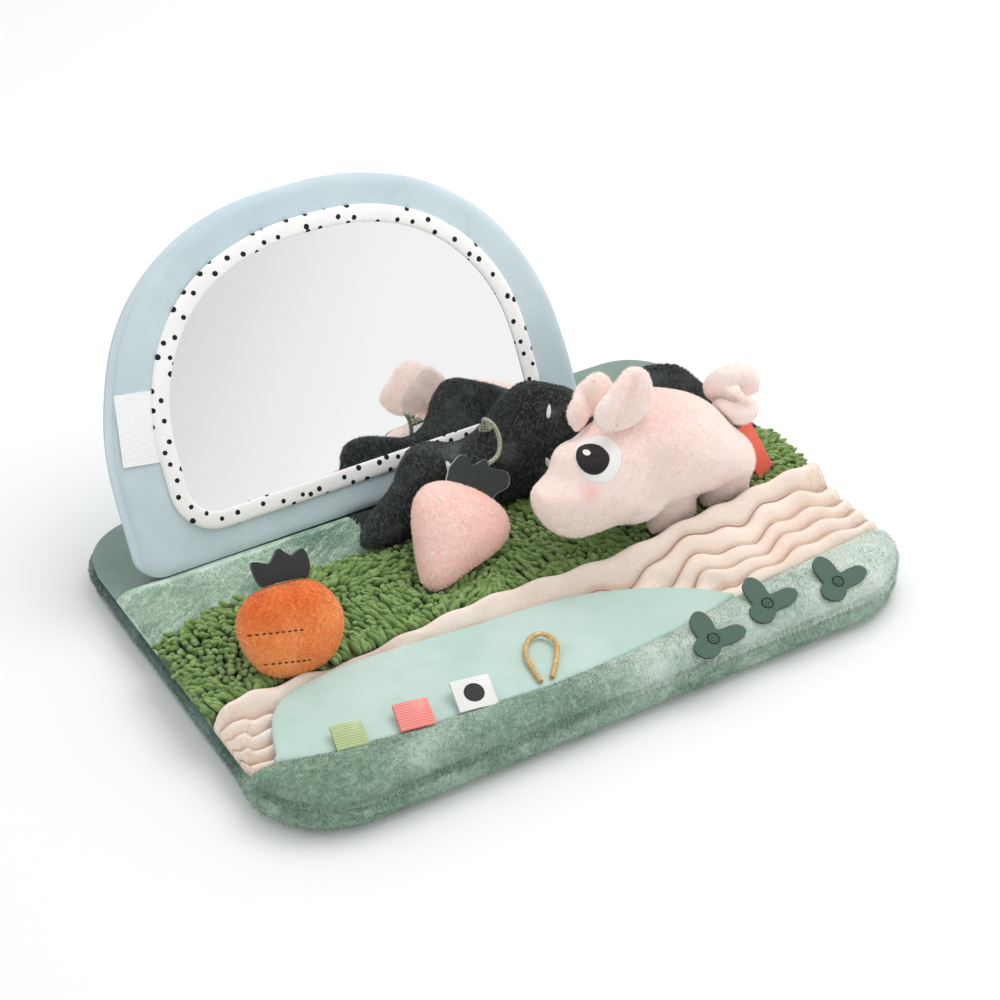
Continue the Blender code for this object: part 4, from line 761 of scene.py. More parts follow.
def chenille_finish():
    yarn = Finish("chenille")
    at = yarn.place()
    tuft = yarn.cloud(170, 1, at)
    fibre = yarn.cloud(1300, 3, at, 0.7)
    # Painted shade: the strands are dark low in the pile and lighten towards their lit tips.
    level = yarn.part(yarn.axis(at, 2), 0.0225, 0.0325)
    shade = yarn.mix(level, paint(52, 82, 38), paint(136, 172, 92))
    # Painted highlights: soft patches of pale yellow green over the strands.
    shade = yarn.mix(yarn.part(tuft, 0.42, 0.62) * 0.6, shade, paint(178, 208, 130))
    shade = yarn.mix(yarn.part(fibre, 0.52, 0.36) * 0.5, shade, paint(76, 116, 50))
    return yarn.cover(shade, 0.95, fibre, 0.0010, 1.0, Sheen_Weight=0.3)


chenille = chenille_finish()
standing = solid_tree("carrot_body", "strawberry_body", "pig_front_leg", "pig_hind_leg", "pig_head",
                      "pig_body", "bush", "pig_side_tag")
for name, start, end, seed in (("grass_left", -MAT_LENGTH / 2, -SEAM_GAP / 2, 5),
                               ("grass_right", SEAM_GAP / 2, MAT_LENGTH / 2, 6)):
    chance = random.Random(seed)
    points, faces = pad(between(start, end, 0.004), edge_rows(22), lambda x: seam_y(PATH_EDGE, x) + SEAM_GAP,
                        grass_back, grass_floor)
    x = start + 0.0012
    while x < end - 0.0010:
        y = seam_y(PATH_EDGE, x) + 0.0012 + chance.uniform(0.0, 0.0020)
        while y < grass_back(x) - 0.0012:
            place = Vector((x + chance.uniform(-0.0011, 0.0011), y, 0.0))
            place.x = min(max(place.x, start + 0.0010), end - 0.0010)
            place.z = grass_floor(place.x, y) - 0.0006
            turn = -1.9 + noise.noise(place * 30) * 3.4 + chance.uniform(-0.8, 0.8)
            lean = Vector((math.cos(turn), math.sin(turn), 0.0))
            if y < seam_y(PATH_EDGE, x) + 0.008:
                lean.y = abs(lean.y)
            reach = STRAND_REACH * chance.uniform(0.82, 1.12)
            above = standing.ray_cast(place, Vector((0, 0, 1)), 0.02)[3]
            beside = standing.find_nearest(place + Vector((0, 0, 0.003)) + lean * 0.003)[3]
            if above is not None:
                reach = min(reach, above * 0.85)
            elif beside < 0.006:
                reach = min(reach, STRAND_REACH * 0.7)
            edge = min(place.x + MAT_LENGTH / 2, MAT_LENGTH / 2 - place.x)
            if edge < 0.010:
                lean = (lean + Vector((math.copysign(0.8, place.x), -0.2, 0.0))).normalized()
            if reach > LEAST_STRAND:
                strand(points, faces, place, lean, reach, STRAND_RADIUS, chance)
            y += STRAND_PITCH + chance.uniform(-0.0003, 0.0004)
        x += 0.0033
    grass = sew(name + "_chenille", points, faces, "mat", chenille, "grass_pile", [name], sharp=0)


# Fields
# Two flat panels of plush behind the grass: sage on the left, near black on the right. Both are
# sewn down to the rear cover and round over at the mat's side.
FIELD_RISE = 0.0103
PATCH_SPLIT = -0.145


def field_top(x, y):
    """Level of a field's skin, rounded down at the mat's side and rear, with a hump at the right."""
    side = PAD_BOTTOM + 0.0009
    shape = roundness(side_distance(x, y) + SEAM_GAP, PAD_ROUND)
    shape *= roundness(field_rear(x) - y + SEAM_GAP, 0.0116)
    wave = noise.noise(Vector((x * 22, y * 30, 4.0))) * 0.0012 * shape
    hump = 0.0040 * eased((x - 0.105) / 0.030)
    return side + (PAD_BOTTOM + FIELD_RISE + hump - side) * shape + min(wave, 0.0)


split = MAT_LENGTH * PATCH_SPLIT
# Painted highlights: the pale light colour, laid in streaks over the pile, stands for fibre tips catching the
# light.
charcoal_plush = plush_finish("charcoal_plush", paint(41, 47, 45), paint(70, 76, 73), paint(22, 26, 25),
                              nap=(1.0, 1.0, 0.55), streak=620, fuzz=1600, depth=0.0012, sheen=0.1, lift=0.70)
combed_sage = plush_finish("combed_sage_plush", paint(186, 214, 192), paint(234, 245, 232),
                           paint(128, 167, 140), nap=(0.16, 1.0, 1.0), streak=420, lift=0.95,
                           turn=(0.0, 0.0, math.radians(28)))
for name, start, end, finish, slot, reach in (
        ("sage_field", -MAT_LENGTH / 2, split - SEAM_GAP / 2, combed_sage, "sage_plush", 0.0030),
        ("dark_field", split + SEAM_GAP / 2, MAT_LENGTH / 2, charcoal_plush, "dark_plush", 0.0014)):
    mesh = pad(between(start, end, 0.0022), edge_rows(40), lambda x: seam_y(GRASS_EDGE, x) + SEAM_GAP,
               field_rear, field_top)
    mesh = with_pile(*mesh, 9000, reach, 0.0004, (0.8, 0.35, -0.1), 23,
                     lambda p, n: n.z > 0.1 and (p.y < 0.058 or p.x > 0.10))
    field = sew(name + "_plush", *mesh, "mat", finish, slot, [name], sharp=0)


# Pond flap
# A thin padded flap of mint cotton with a washed print. It is sewn in along its front, with the tags, and
# lifts like a page.
POND_THICKNESS = 0.0024
POND_CROWN = 0.0016
POND_BODY = "pond_flap"


def pond_span():
    """The flap's left and right ends."""
    return MAT_LENGTH * POND_EDGE[0][0], MAT_LENGTH * POND_EDGE[-1][0]


def pond_far(x):
    """The flap's free edge."""
    return max(pond_edge(x), border_seam(x) + SEAM_GAP + 0.004)


def pond_bed(x, y):
    return path_crest(x, y) + SEAM_GAP


def pond_top(x, y):
    """Level of the flap's upper cloth: a thin rim, a low crown and a few soft waves."""
    near, far = border_seam(x) + SEAM_GAP, pond_far(x)
    share = min(max((y - near) / (far - near), 0.0), 1.0)
    rim = roundness(min(y - near, far - y, x - pond_span()[0]) + 0.0002, 0.0026)
    crown = POND_CROWN * roundness(min(share, 1 - share), 0.5)
    wave = noise.noise(Vector((x * 26, y * 40, 9.0))) * 0.0016 * min(share, 1 - share) * 2
    return pond_bed(x, y) + POND_THICKNESS * (0.25 + 0.75 * rim) + crown + wave


def cotton_finish(name, base, wash, shadow, weave=5200.0, turn=(0.0, 0.0, 0.0)):
    """Plain woven cotton with a washed, watery print."""
    cotton = Finish(name)
    at = cotton.place((1.0, 1.0, 1.0), turn)
    x, y = cotton.axis(at, 0), cotton.axis(at, 1)
    threads = ((x * weave).sine() * (y * weave).sine()) * 0.5 + 0.5
    pool = cotton.cloud(13, 3, at, 0.6)
    shade = cotton.mix(cotton.part(pool, 0.38, 0.62), wash, base)
    shade = cotton.mix(cotton.part(cotton.cloud(44, 4, at, 0.6), 0.50, 0.72) * 0.35, shade, shadow)
    grain = cotton.cloud(1800, 2, at)
    return cotton.cover(shade, 0.8, threads * 0.5 + grain * 0.5, 0.0002, 0.6, Sheen_Weight=0.15)


mint_cotton = cotton_finish("mint_cotton", paint(184, 211, 201), paint(196, 219, 211), paint(166, 198, 186))


def flap(stations, rows, front, back, top, bed):
    """Closed sheet between an upper and a lower surface over the same grid."""
    points, faces = [], []
    count, length = len(rows), len(stations)
    for level in (top, bed):
        for x in stations:
            line = [front(x) + (back(x) - front(x)) * share for share in rows]
            points += [Vector((x, y, level(x, y))) for y in line]
    under = count * length
    for i in range(length - 1):
        for j in range(count - 1):
            a = i * count + j
            faces += [(a, a + count, a + count + 1, a + 1),
                      (under + a, under + a + 1, under + a + count + 1, under + a + count)]
    rim = grid_rim(length, count)
    faces += [(a, under + a, under + b, b) for a, b in zip(rim, rim[1:] + rim[:1])]
    return points, faces


pond_mesh = flap(between(*pond_span(), 0.0025), edge_rows(40), lambda x: border_seam(x) + SEAM_GAP, pond_far,
                 pond_top, pond_bed)
pond = sew("pond_flap_cotton", *pond_mesh, POND_BODY, mint_cotton, "pond_cotton", ["pond_flap"], sharp=50)


# Tags
# Three folded ribbons caught in the flap's front seam: ribbed green, ribbed coral, and white with one black
# dot. Each is folded on itself, so that its far end is an open loop.
TAG_FOLD = 0.0026
TAG_CLOTH = 0.0007
TAG_TUCK = 0.0008
TAG_TURN = -11.0
TAG_RISE = 20.0


def turned(degrees, axis):
    """A turn about one axis."""
    return Matrix.Rotation(math.radians(degrees), 4, axis)


def ribbon_finish(name, base, light, dark, dot=None):
    """Grosgrain: cords across the ribbon, each catching light on its crown, with a printed dot on one."""
    silk = Finish(name)
    at = silk.place()
    x, y, z = silk.axis(at, 0), silk.axis(at, 1), silk.axis(at, 2)
    cord = (y * 4400.0).sine() * 0.5 + 0.5
    shade = silk.mix(0.25 + cord * 0.75, dark, base)
    shade = silk.mix(silk.part(silk.cloud(60, 3, at), 0.45, 0.7) * 0.6, shade, light)
    if dot:
        far = (x * x + (y - dot) * (y - dot)) ** 0.5
        printed = silk.part(far, 0.0054, 0.0051) * (z > TAG_FOLD / 2)
        shade = silk.mix(printed, shade, silk.mix(cord * 0.5, paint(24, 25, 26), paint(66, 68, 68)))
    return silk.cover(shade, 0.6, cord, 0.0003, 0.3 if dot else 0.8, Sheen_Weight=0.2)


def folded_ribbon(width, reach, tuck, fold=TAG_FOLD):
    """A ribbon folded on itself: lies along y from its seam, with an open fold at its far end."""
    radius = fold / 2
    outer, inner = [], []
    for line, depth in ((outer, 0.0), (inner, TAG_CLOTH)):
        line += [(-tuck + (reach - radius + tuck) * k / 14, depth) for k in range(15)]
        line += [(reach - radius + (radius - depth) * math.cos(a), radius + (radius - depth) * math.sin(a))
                 for a in (math.radians(-90 + 180 * k / 10) for k in range(1, 10))]
        line += [(reach - radius - (reach - radius + tuck) * k / 14, 2 * radius - depth) for k in range(15)]
    profile = outer + inner[::-1]
    loops = []
    for share in between(-0.5, 0.5, 0.1):
        bow = 0.0004 * math.cos(math.pi * share)
        loops.append([Vector((share * width, y, z + (bow if z > radius else 0.0))) for y, z in profile])
    return loft(loops)


for name, place, width, reach, slot, colours, dot in (
        ("green_tag", (-0.14326, -0.10763, 0.02824), 0.0158, 0.0135, "green_ribbon",
         (paint(196, 212, 160), paint(214, 226, 184), paint(150, 174, 112)), None),
        ("coral_tag", (-0.10944, -0.11159, 0.02851), 0.0178, 0.0150, "coral_ribbon",
         (paint(252, 160, 150), paint(254, 190, 180), paint(236, 112, 108)), None),
        ("dot_tag", (-0.07699, -0.11448, 0.02854), 0.0200, 0.0172, "white_ribbon",
         (paint(240, 240, 236), paint(248, 248, 246), paint(222, 222, 218)), 0.0081)):
    finish = ribbon_finish(name + "_weave", *colours, dot)
    at_seam = Matrix.Translation(place) @ turned(TAG_TURN, "Z") @ turned(TAG_RISE, "X")
    ribbon_mesh = folded_ribbon(width, reach, TAG_TUCK)
    sew(name + "_ribbon", *ribbon_mesh, POND_BODY, finish, slot, [name], 50, at_seam)


# Gold loop
# Round elastic covered in gold thread, bent to a drop. It lies on the flap, and both its ends are caught in
# the flap's seam.
LOOP_DIAMETER = 0.0028
LOOP_ROUTE = (
    (-0.04097, -0.11430, 0.03028), (-0.04061, -0.11131, 0.03048), (-0.04011, -0.10726, 0.03079),
    (-0.03958, -0.10291, 0.03120), (-0.03892, -0.09878, 0.03159), (-0.03818, -0.09599, 0.03180),
    (-0.03710, -0.09357, 0.03197), (-0.03536, -0.09073, 0.03224), (-0.03326, -0.08813, 0.03248),
    (-0.03106, -0.08611, 0.03261), (-0.02859, -0.08480, 0.03268), (-0.02544, -0.08433, 0.03270),
    (-0.02254, -0.08496, 0.03268), (-0.02076, -0.08735, 0.03260), (-0.01979, -0.09037, 0.03248),
    (-0.01961, -0.09301, 0.03234), (-0.02014, -0.09562, 0.03216), (-0.02122, -0.09802, 0.03200),
    (-0.02299, -0.10070, 0.03178), (-0.02572, -0.10435, 0.03140), (-0.02881, -0.10813, 0.03098),
    (-0.03206, -0.11168, 0.03058), (-0.03457, -0.11430, 0.03028))


def round_cord(route, diameter, ridge, pitch, sides=14):
    """Tube along a route, its cover wound or ribbed so that it swells a little at each turn."""
    route = [Vector(p) for p in route]
    spine, run = [], 0.0
    for a, b, c, d in zip([route[0]] + route[:-2], route[:-1], route[1:], route[2:] + [route[-1]]):
        steps = max(2, round((c - b).length / (pitch / 4)))
        for step in range(steps):
            t = step / steps
            spine.append(0.5 * (2 * b + (c - a) * t + (2 * a - 5 * b + 4 * c - d) * t ** 2
                                + (3 * b - a - 3 * c + d) * t ** 3))
    spine.append(route[-1])
    loops = []
    side = Vector((0.2, 0.3, 0.93)).cross(spine[1] - spine[0]).normalized()
    for number, place in enumerate(spine):
        ahead = heading(spine, number)
        side = (side - ahead * side.dot(ahead)).normalized()
        run += (place - spine[number - 1]).length if number else 0.0
        radius = diameter / 2 - ridge * (0.5 - 0.5 * math.cos(math.tau * run / pitch))
        loops.append(hoop(place, side, ahead.cross(side), radius, sides))
    return loft(loops)


def thread_finish(name, base, light, dark, metal, roughness):
    """Elastic thread: fine turns of yarn round a stretchy core."""
    thread = Finish(name)
    at = thread.place()
    turn = thread.cloud(2200, 2, at)
    shade = thread.mix(thread.part(turn, 0.35, 0.65), dark, base)
    shade = thread.mix(thread.part(thread.cloud(400, 2, at), 0.5, 0.7) * 0.6, shade, light)
    return thread.cover(shade, roughness, turn, 0.0003, 0.7, Metallic=metal)


gold_thread = thread_finish("gold_thread", paint(228, 196, 134), paint(250, 230, 184), paint(186, 146, 88),
                            metal=0.25, roughness=0.45)
loop_mesh = round_cord(LOOP_ROUTE, LOOP_DIAMETER, ridge=0.00010, pitch=0.0009)
loop = sew("gold_loop_elastic", *loop_mesh, POND_BODY, gold_thread, "gold_cord", ["gold_loop"], 60)


# Leaves
# Three leaf shapes cut from coated felt. They lie loose on the border, and each is held at its middle by a
# stitched ring.
LEAF_SIZE = 0.0188
LEAF_THICKNESS = 0.0016
LEAF_TILT = 20.0
LEAF_OUTLINE = (
    (-0.40, 0.17), (-0.37, 0.585), (-0.265, 0.81), (-0.05, 0.935), (0.13, 0.905), (0.255, 0.72),
    (0.275, 0.48), (0.265, 0.225), (0.56, 0.185), (0.85, 0.15), (1.00, 0.00), (0.99, -0.16),
    (0.815, -0.275), (0.52, -0.33), (0.24, -0.31), (0.08, -0.32), (-0.04, -0.425), (-0.24, -0.51),
    (-0.435, -0.49), (-0.61, -0.37), (-0.69, -0.19), (-0.65, -0.02), (-0.53, 0.12))


def smooth_loop(outline, count, scale=1.0):
    """Closed smooth curve through an outline's points."""
    loop, total = [], len(outline)
    for step in range(count):
        at = step * total / count
        i, t = int(at), at - int(at)
        a, b, c, d = (Vector((*outline[(i + k) % total], 0.0)) for k in (-1, 0, 1, 2))
        loop.append(scale * 0.5 * (2 * b + (c - a) * t + (2 * a - 5 * b + 4 * c - d) * t ** 2
                                   + (3 * b - a - 3 * c + d) * t ** 3))
    return loop


def felt_finish(name, face, edge, cut=None, half=0.0, across=2):
    """Pressed felt: matted fibres on its faces, a plainer tone along the cut edge."""
    felt = Finish(name)
    at = felt.place()
    mat = felt.cloud(700, 3, at, 0.7)
    shade = felt.mix(felt.part(mat, 0.35, 0.65) * 0.35, face, edge)
    if cut is not None:
        near = felt.part(felt.axis(at, across).size() / half, 0.55, 0.80)
        shade = felt.mix(near, cut, shade)
    return felt.cover(shade, 0.85, mat, 0.0005, 0.6, Sheen_Weight=0.2)


def cut_felt(outline, thickness):
    """Flat felt shape with softly rounded edges."""
    middle = sum(outline, Vector()) / len(outline)
    loops = []
    for inset, level in ((0.86, -0.5), (0.96, -0.5), (1.0, -0.36), (1.0, 0.36), (0.96, 0.5), (0.86, 0.5)):
        loops.append([middle + (p - middle) * inset + Vector((0, 0, level * thickness)) for p in outline])
    return loft(loops)


leaf_felt = felt_finish("leaf_felt", paint(84, 109, 97), paint(66, 89, 78), paint(36, 50, 45),
                        LEAF_THICKNESS / 2)
dark_thread = thread_finish("dark_thread", paint(44, 56, 52), paint(84, 98, 90), paint(26, 34, 32),
                            metal=0.0, roughness=0.7)
BEAD_SWELL = ((0.0, 0.25), (0.2, 0.85), (0.5, 1.0), (0.8, 0.85), (1.0, 0.25))


def bead(points, faces, start, end, thickness):
    """One raised stitch: a bead of thread, thickest in its middle."""
    along = end - start
    side = along.cross(Vector((0.12, 0.31, 0.94))).normalized()
    other = along.cross(side).normalized()
    base, sides = len(points), 6
    for share, swell in BEAD_SWELL:
        points += hoop(start + along * share, side, other, thickness / 2 * swell, sides)
    last = base + (len(BEAD_SWELL) - 1) * sides
    for row in range(base, last, sides):
        faces += [(row + k, row + (k + 1) % sides, row + sides + (k + 1) % sides, row + sides + k)
                  for k in range(sides)]
    faces += [tuple(base + k for k in range(sides)), tuple(last + k for k in range(sides))]


def ring_stitch(radius, count, thickness, lift):
    """A ring of short raised stitches."""
    points, faces = [], []
    for number in range(count):
        turn, half = math.tau * number / count, math.pi / count * 0.92
        start, end = ((math.cos(a) * radius, math.sin(a) * radius, lift) for a in (turn - half, turn + half))
        bead(points, faces, Vector(start), Vector(end), thickness)
    return points, faces


LEAF_PLACES = (((0.05225, -0.12995, 0.02836), 0.0), ((0.09101, -0.12314, 0.03084), 5.0),
               ((0.13452, -0.12628, 0.02970), 7.0))
leaf_mesh = cut_felt(smooth_loop(LEAF_OUTLINE, 138, LEAF_SIZE), LEAF_THICKNESS)
ring_mesh = ring_stitch(0.0031, 12, 0.0010, LEAF_THICKNESS / 2 + 0.0001)
hub_mesh = ring_stitch(0.0013, 5, 0.0012, LEAF_THICKNESS / 2)
for number, (place, turn) in enumerate(LEAF_PLACES, start=1):
    name = "leaf_%d" % number
    at_border = Matrix.Translation(place) @ turned(LEAF_TILT, "X") @ turned(turn, "Z")
    at_border = at_border @ Matrix.Translation((0, 0, LEAF_THICKNESS / 2))
    sew(name + "_felt", *leaf_mesh, "mat", leaf_felt, "leaf_felt", [name], 50, at_border)
    sew(name + "_stitches", *ring_mesh, "mat", dark_thread, "leaf_felt", (), 60, at_border)
    sew(name + "_hub", *hub_mesh, "mat", leaf_felt, "leaf_felt", (), 60, at_border)


# Bush
# A stuffed bush in two humps, cut from near black plush and sewn down along the back of the grass.
# Three short white marks are embroidered on its front.
def stuffed(name, nodes, voxel, cap, body, finish, pressure=4.0, shrink=0.0006, swell=0.0004,
            fillets=()):
    """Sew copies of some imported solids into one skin, blow it up as filled cloth, and smooth it."""
    work = bmesh.new()
    for node in nodes:
        work.from_mesh(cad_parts[node].data)
    for fillet in fillets:
        bmesh.ops.create_icosphere(work, subdivisions=3, radius=1.0, matrix=fillet)
    mesh = bpy.data.meshes.new(name)
    work.to_mesh(mesh)
    work.free()
    piece = bpy.data.objects.new(name, mesh)
    bpy.context.scene.collection.objects.link(piece)
    skin = piece.modifiers.new("skin", "REMESH")
    skin.mode = "VOXEL"
    skin.voxel_size = voxel
    soften = piece.modifiers.new("soften", "SMOOTH")
    soften.factor = 0.5
    soften.iterations = 3
    take_shape(piece)
    inflate(piece, cap, pressure, shrink)
    finer = piece.modifiers.new("finer", "SUBSURF")
    finer.levels = 1
    take_shape(piece)
    for vertex in piece.data.vertices:
        vertex.co += vertex.normal * (swell + 0.0004 * noise.noise(vertex.co * 45))
    fasten(piece, body, finish, nodes, 0)
    return piece


def take_shape(piece):
    """Apply a piece's modifiers to its mesh."""
    graph = bpy.context.evaluated_depsgraph_get()
    shaped = bpy.data.meshes.new_from_object(piece.evaluated_get(graph), depsgraph=graph)
    piece.modifiers.clear()
    piece.data = shaped


FILL_FRAMES = 20


def inflate(piece, cap, pressure, shrink):
    """Fill a closed skin by cloth simulation, with a limit on how far any point may move."""
    for vertex in piece.data.vertices:
        vertex.co -= vertex.normal * shrink
    before = [vertex.co.copy() for vertex in piece.data.vertices]
    cloth = piece.modifiers.new("cloth", "CLOTH")
    cloth.settings.quality = 4
    cloth.settings.mass = 0.2
    cloth.settings.use_pressure = True
    cloth.settings.uniform_pressure_force = pressure
    cloth.settings.effector_weights.gravity = 0.0
    cloth.settings.bending_stiffness = 0.6
    cloth.collision_settings.use_collision = False
    cloth.point_cache.frame_start = 1
    cloth.point_cache.frame_end = FILL_FRAMES
    for step in range(1, FILL_FRAMES + 1):
        bpy.context.scene.frame_set(step)
    take_shape(piece)
    for vertex, start in zip(piece.data.vertices, before):
        moved = vertex.co - start
        if moved.length > cap:
            vertex.co = start + moved.normalized() * cap
    bpy.context.scene.frame_set(1)


# Painted highlights: the pale light colour, laid in streaks over the pile, stands for fibre tips catching the
# light.
bush_fur = plush_finish("bush_fur", paint(46, 52, 50), paint(108, 116, 112), paint(24, 28, 27),
                        nap=(1.0, 1.0, 0.55), streak=620, fuzz=1600, depth=0.0012, sheen=0.1, lift=0.70)
bush = stuffed("bush_plush", ["bush"], voxel=0.0040, cap=0.0035, body="mat", finish=bush_fur)
SKIN_REACH = 0.08


def on_skin(piece, origin, sideways, upward, points, lift=0.0003, back=False):
    """Lay flat points on a stuffed piece: each slides in along its normal until it meets the plush."""
    skin = piece.data
    tree = BVHTree.FromPolygons([v.co for v in skin.vertices], [f.vertices for f in skin.polygons])
    inward = upward.cross(sideways).normalized() * (-1 if back else 1)
    laid = []
    for p in points:
        start = origin + sideways * p.x + upward * p.y - inward * SKIN_REACH
        hit = tree.ray_cast(start, inward)[0]
        laid.append((hit if hit is not None else start + inward * SKIN_REACH) - inward * (lift + p.z))
    return laid


def patch(outline, rings, dome):
    """Points and faces of a low domed patch inside an outline, for embroidery."""
    middle = sum(outline, Vector()) / len(outline)
    points, faces = [], []
    count = len(outline)
    for ring in range(rings):
        share = 1 - ring / rings
        rise = Vector((0, 0, dome * math.sqrt(1 - share ** 2)))
        points += [middle + (p - middle) * share + rise for p in outline]
    points.append(middle + Vector((0, 0, dome)))
    for ring in range(rings - 1):
        low, high = ring * count, (ring + 1) * count
        faces += [(low + k, low + (k + 1) % count, high + (k + 1) % count, high + k) for k in range(count)]
    last = (rings - 1) * count
    faces += [(last + k, last + (k + 1) % count, len(points) - 1) for k in range(count)]
    return points, faces


def furred(piece, count, length, width, lean, seed, bare=()):
    """Grow short pile on a stuffed piece, except close to its embroidery."""
    skin = piece.data
    points = [vertex.co.copy() for vertex in skin.vertices]
    faces = [tuple(face.vertices) for face in skin.polygons]
    points, faces = with_pile(points, faces, count, length, width, lean, seed,
                              lambda p, n: all((p - spot).length > reach for spot, reach in bare))
    grown = bpy.data.meshes.new(piece.name)
    grown.from_pydata([tuple(p) for p in points], [], faces)
    grown.materials.append(skin.materials[0])
    grown.shade_smooth()
    piece.data = grown


def crease(piece, origin, sideways, upward, start, end, depth, width, through=False):
    """Press a soft line into the face of a stuffed piece, as a seam or a fold draws it in."""
    out = sideways.cross(upward)
    start, end = Vector(start), Vector(end)
    span = end - start
    for vertex in piece.data.vertices:
        local = vertex.co - origin
        if local.dot(out) < 0 and not through:
            continue
        at = Vector((local.dot(sideways), local.dot(upward)))
        share = min(max((at - start).dot(span) / span.length_squared, 0.0), 1.0)
        off = (at - start - span * share).length
        fade = math.sin(math.pi * min(max(share, 0.08), 0.92)) ** 0.5
        inward = out if through else vertex.normal
        vertex.co -= inward * depth * fade * math.exp(-(off / width) ** 2)


def satin_finish(name, base, dark, across=(1.0, 0.0, 0.0), pitch=9000.0):
    """Satin stitch: close parallel threads with a soft shine."""
    silk = Finish(name)
    at = silk.place()
    run = silk.node("ShaderNodeVectorMath", {"operation": "DOT_PRODUCT"}, {0: at, 1: across}, 1)
    thread = (run * pitch).sine() * 0.5 + 0.5
    return silk.cover(silk.mix(thread * 0.5, base, dark), 0.5, thread, 0.0002, 0.6)


white_satin = satin_finish("white_satin", paint(255, 253, 250), paint(236, 234, 231))
BUSH_LEAN = math.radians(8)
bush_foot = Vector((0.0, 0.02951, 0.02730))
bush_up = Vector((0.0, math.sin(BUSH_LEAN), math.cos(BUSH_LEAN)))
bush_side = Vector((1.0, 0.0, 0.0))
crease(bush, bush_foot, bush_side, bush_up, (0.0285, 0.0640), (0.0200, 0.0460), depth=0.0022, width=0.0020)
marks = []
BUSH_MARKS = ((-0.0142, 0.0400, 12.0), (0.0503, 0.0519, -24.0), (0.0444, 0.0247, 18.0))
for number, (x, up, tilt) in enumerate(BUSH_MARKS, 1):
    turn = turned(tilt, "Z")
    shape = [turn @ Vector((0.0015 * math.sin(a) * (1 - 0.25 * math.cos(a)), 0.0036 * math.cos(a), 0.0))
             for a in (math.tau * k / 20 for k in range(20))]
    points, faces = patch(shape, rings=3, dome=0.0006)
    points = on_skin(bush, bush_foot + bush_side * x + bush_up * up, bush_side, bush_up, points)
    sew("bush_mark_%d" % number, points, faces, "mat", white_satin, "dark_plush", (), 0)
    marks.append((points[-1], 0.0040))
furred(bush, count=26000, length=0.0024, width=0.0004, lean=(0.1, -0.3, -0.7), seed=31, bare=marks)


# Knot
# The strawberry's elastic leaves the bush through a small eyelet, sewn in three rings of the same pale
# thread.
elastic_thread = thread_finish("elastic_thread", paint(186, 192, 170), paint(220, 224, 206),
                               paint(122, 128, 106), metal=0.0, roughness=0.7)
KNOT_PLACE = Vector((0.01666, 0.03613, 0.07444))
knot_points, knot_faces = [], []
for ring, (radius, level) in enumerate(((0.0033, 0.0), (0.0026, 0.0012), (0.0018, 0.0022))):
    ring_points, ring_faces = ring_stitch(radius, 13 - 3 * ring, 0.0015, level)
    knot_faces += [tuple(len(knot_points) + k for k in face) for face in ring_faces]
    knot_points += ring_points
knot_at = Matrix.Translation(KNOT_PLACE) @ Matrix.Rotation(-BUSH_LEAN, 4, "X")
sew("cord_knot_thread", knot_points, knot_faces, "mat", elastic_thread, "elastic_cord", ["cord_knot"], 0,
    knot_at)


# Carrot
# A round stuffed carrot of orange fur that leans back in the grass, with running stitches on its face
# and a crown of near black felt.
CARROT_AT = Matrix.Translation((-0.13604, -0.04218, 0.02940)) @ turned(-35, "X")


def facing(place):
    """Origin, sideways and upward directions of a toy that stands in its own leaning frame."""
    return place.translation, place.col[0].xyz, place.col[2].xyz


def running_stitch(name, piece, place, lines, body, finish, slot, thickness=0.0009, back=False):
    """Rows of short stitches laid on a stuffed piece, each row from one point to another."""
    points, faces = [], []
    for start, end, count in lines:
        start, end = Vector((*start, 0.0)), Vector((*end, 0.0))
        spots = []
        for k in range(count):
            low, high = (k + 0.14) / count, (k + 0.78) / count
            spots += [start.lerp(end, low), start.lerp(end, high)]
        laid = on_skin(piece, *facing(place), spots, 0.0004, back)
        for a, b in zip(laid[::2], laid[1::2]):
            bead(points, faces, a, b, thickness)
    return sew(name, points, faces, body, finish, slot, (), 0)


def softened(name, node, bevel, body, finish, wander=0.0):
    """A cut cloth or felt piece: its solid with soft edges."""
    piece = bpy.data.objects.new(name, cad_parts[node].data.copy())
    bpy.context.scene.collection.objects.link(piece)
    work = bmesh.new()
    work.from_mesh(piece.data)
    bmesh.ops.remove_doubles(work, verts=work.verts[:], dist=0.00001)
    bmesh.ops.dissolve_limit(work, angle_limit=math.radians(2), verts=work.verts[:], edges=work.edges[:])
    work.to_mesh(piece.data)
    work.free()
    soft = piece.modifiers.new("soft", "BEVEL")
    soft.width = bevel
    soft.segments = 3
    soft.limit_method = "ANGLE"
    soft.angle_limit = math.radians(40)
    take_shape(piece)
    if wander:
        for vertex in piece.data.vertices:
            vertex.co += vertex.normal * wander * noise.noise(vertex.co * 60)
    return fasten(piece, body, finish, [node], 40)


deep_orange = dict(base=paint(244, 122, 44), light=paint(250, 152, 76), dark=paint(222, 98, 34))
orange_fur = plush_finish("orange_fur", paint(255, 164, 88), paint(255, 198, 138), paint(248, 136, 64),
                          nap=(0.6, 1.0, 1.0), streak=620, fuzz=1500, depth=0.0011, sheen=0.35, lift=0.60,
                          lie=0.6, toward=(2, 0.050, 0.066, deep_orange))
carrot = stuffed("carrot_fur", ["carrot_body"], voxel=0.0030, cap=0.0030, body="carrot", finish=orange_fur)
CARROT_CREASES = (
    ((0.0041, 0.0440), (0.0011, 0.0283), 0.0012), ((-0.0251, 0.0306), (-0.0094, 0.0430), 0.0006),
    ((0.0094, 0.0408), (0.0220, 0.0330), 0.0006))
for start, end, depth in CARROT_CREASES:
    crease(carrot, *facing(CARROT_AT), start, end, depth, width=0.0012)
brown_thread = thread_finish("brown_thread", paint(92, 48, 28), paint(128, 76, 48), paint(62, 30, 16),
                             metal=0.0, roughness=0.8)
CARROT_ROWS = (((-0.0259, 0.0251), (0.0010, 0.0192), 9), ((-0.0222, 0.0087), (0.0020, 0.0030), 8))
bare = []
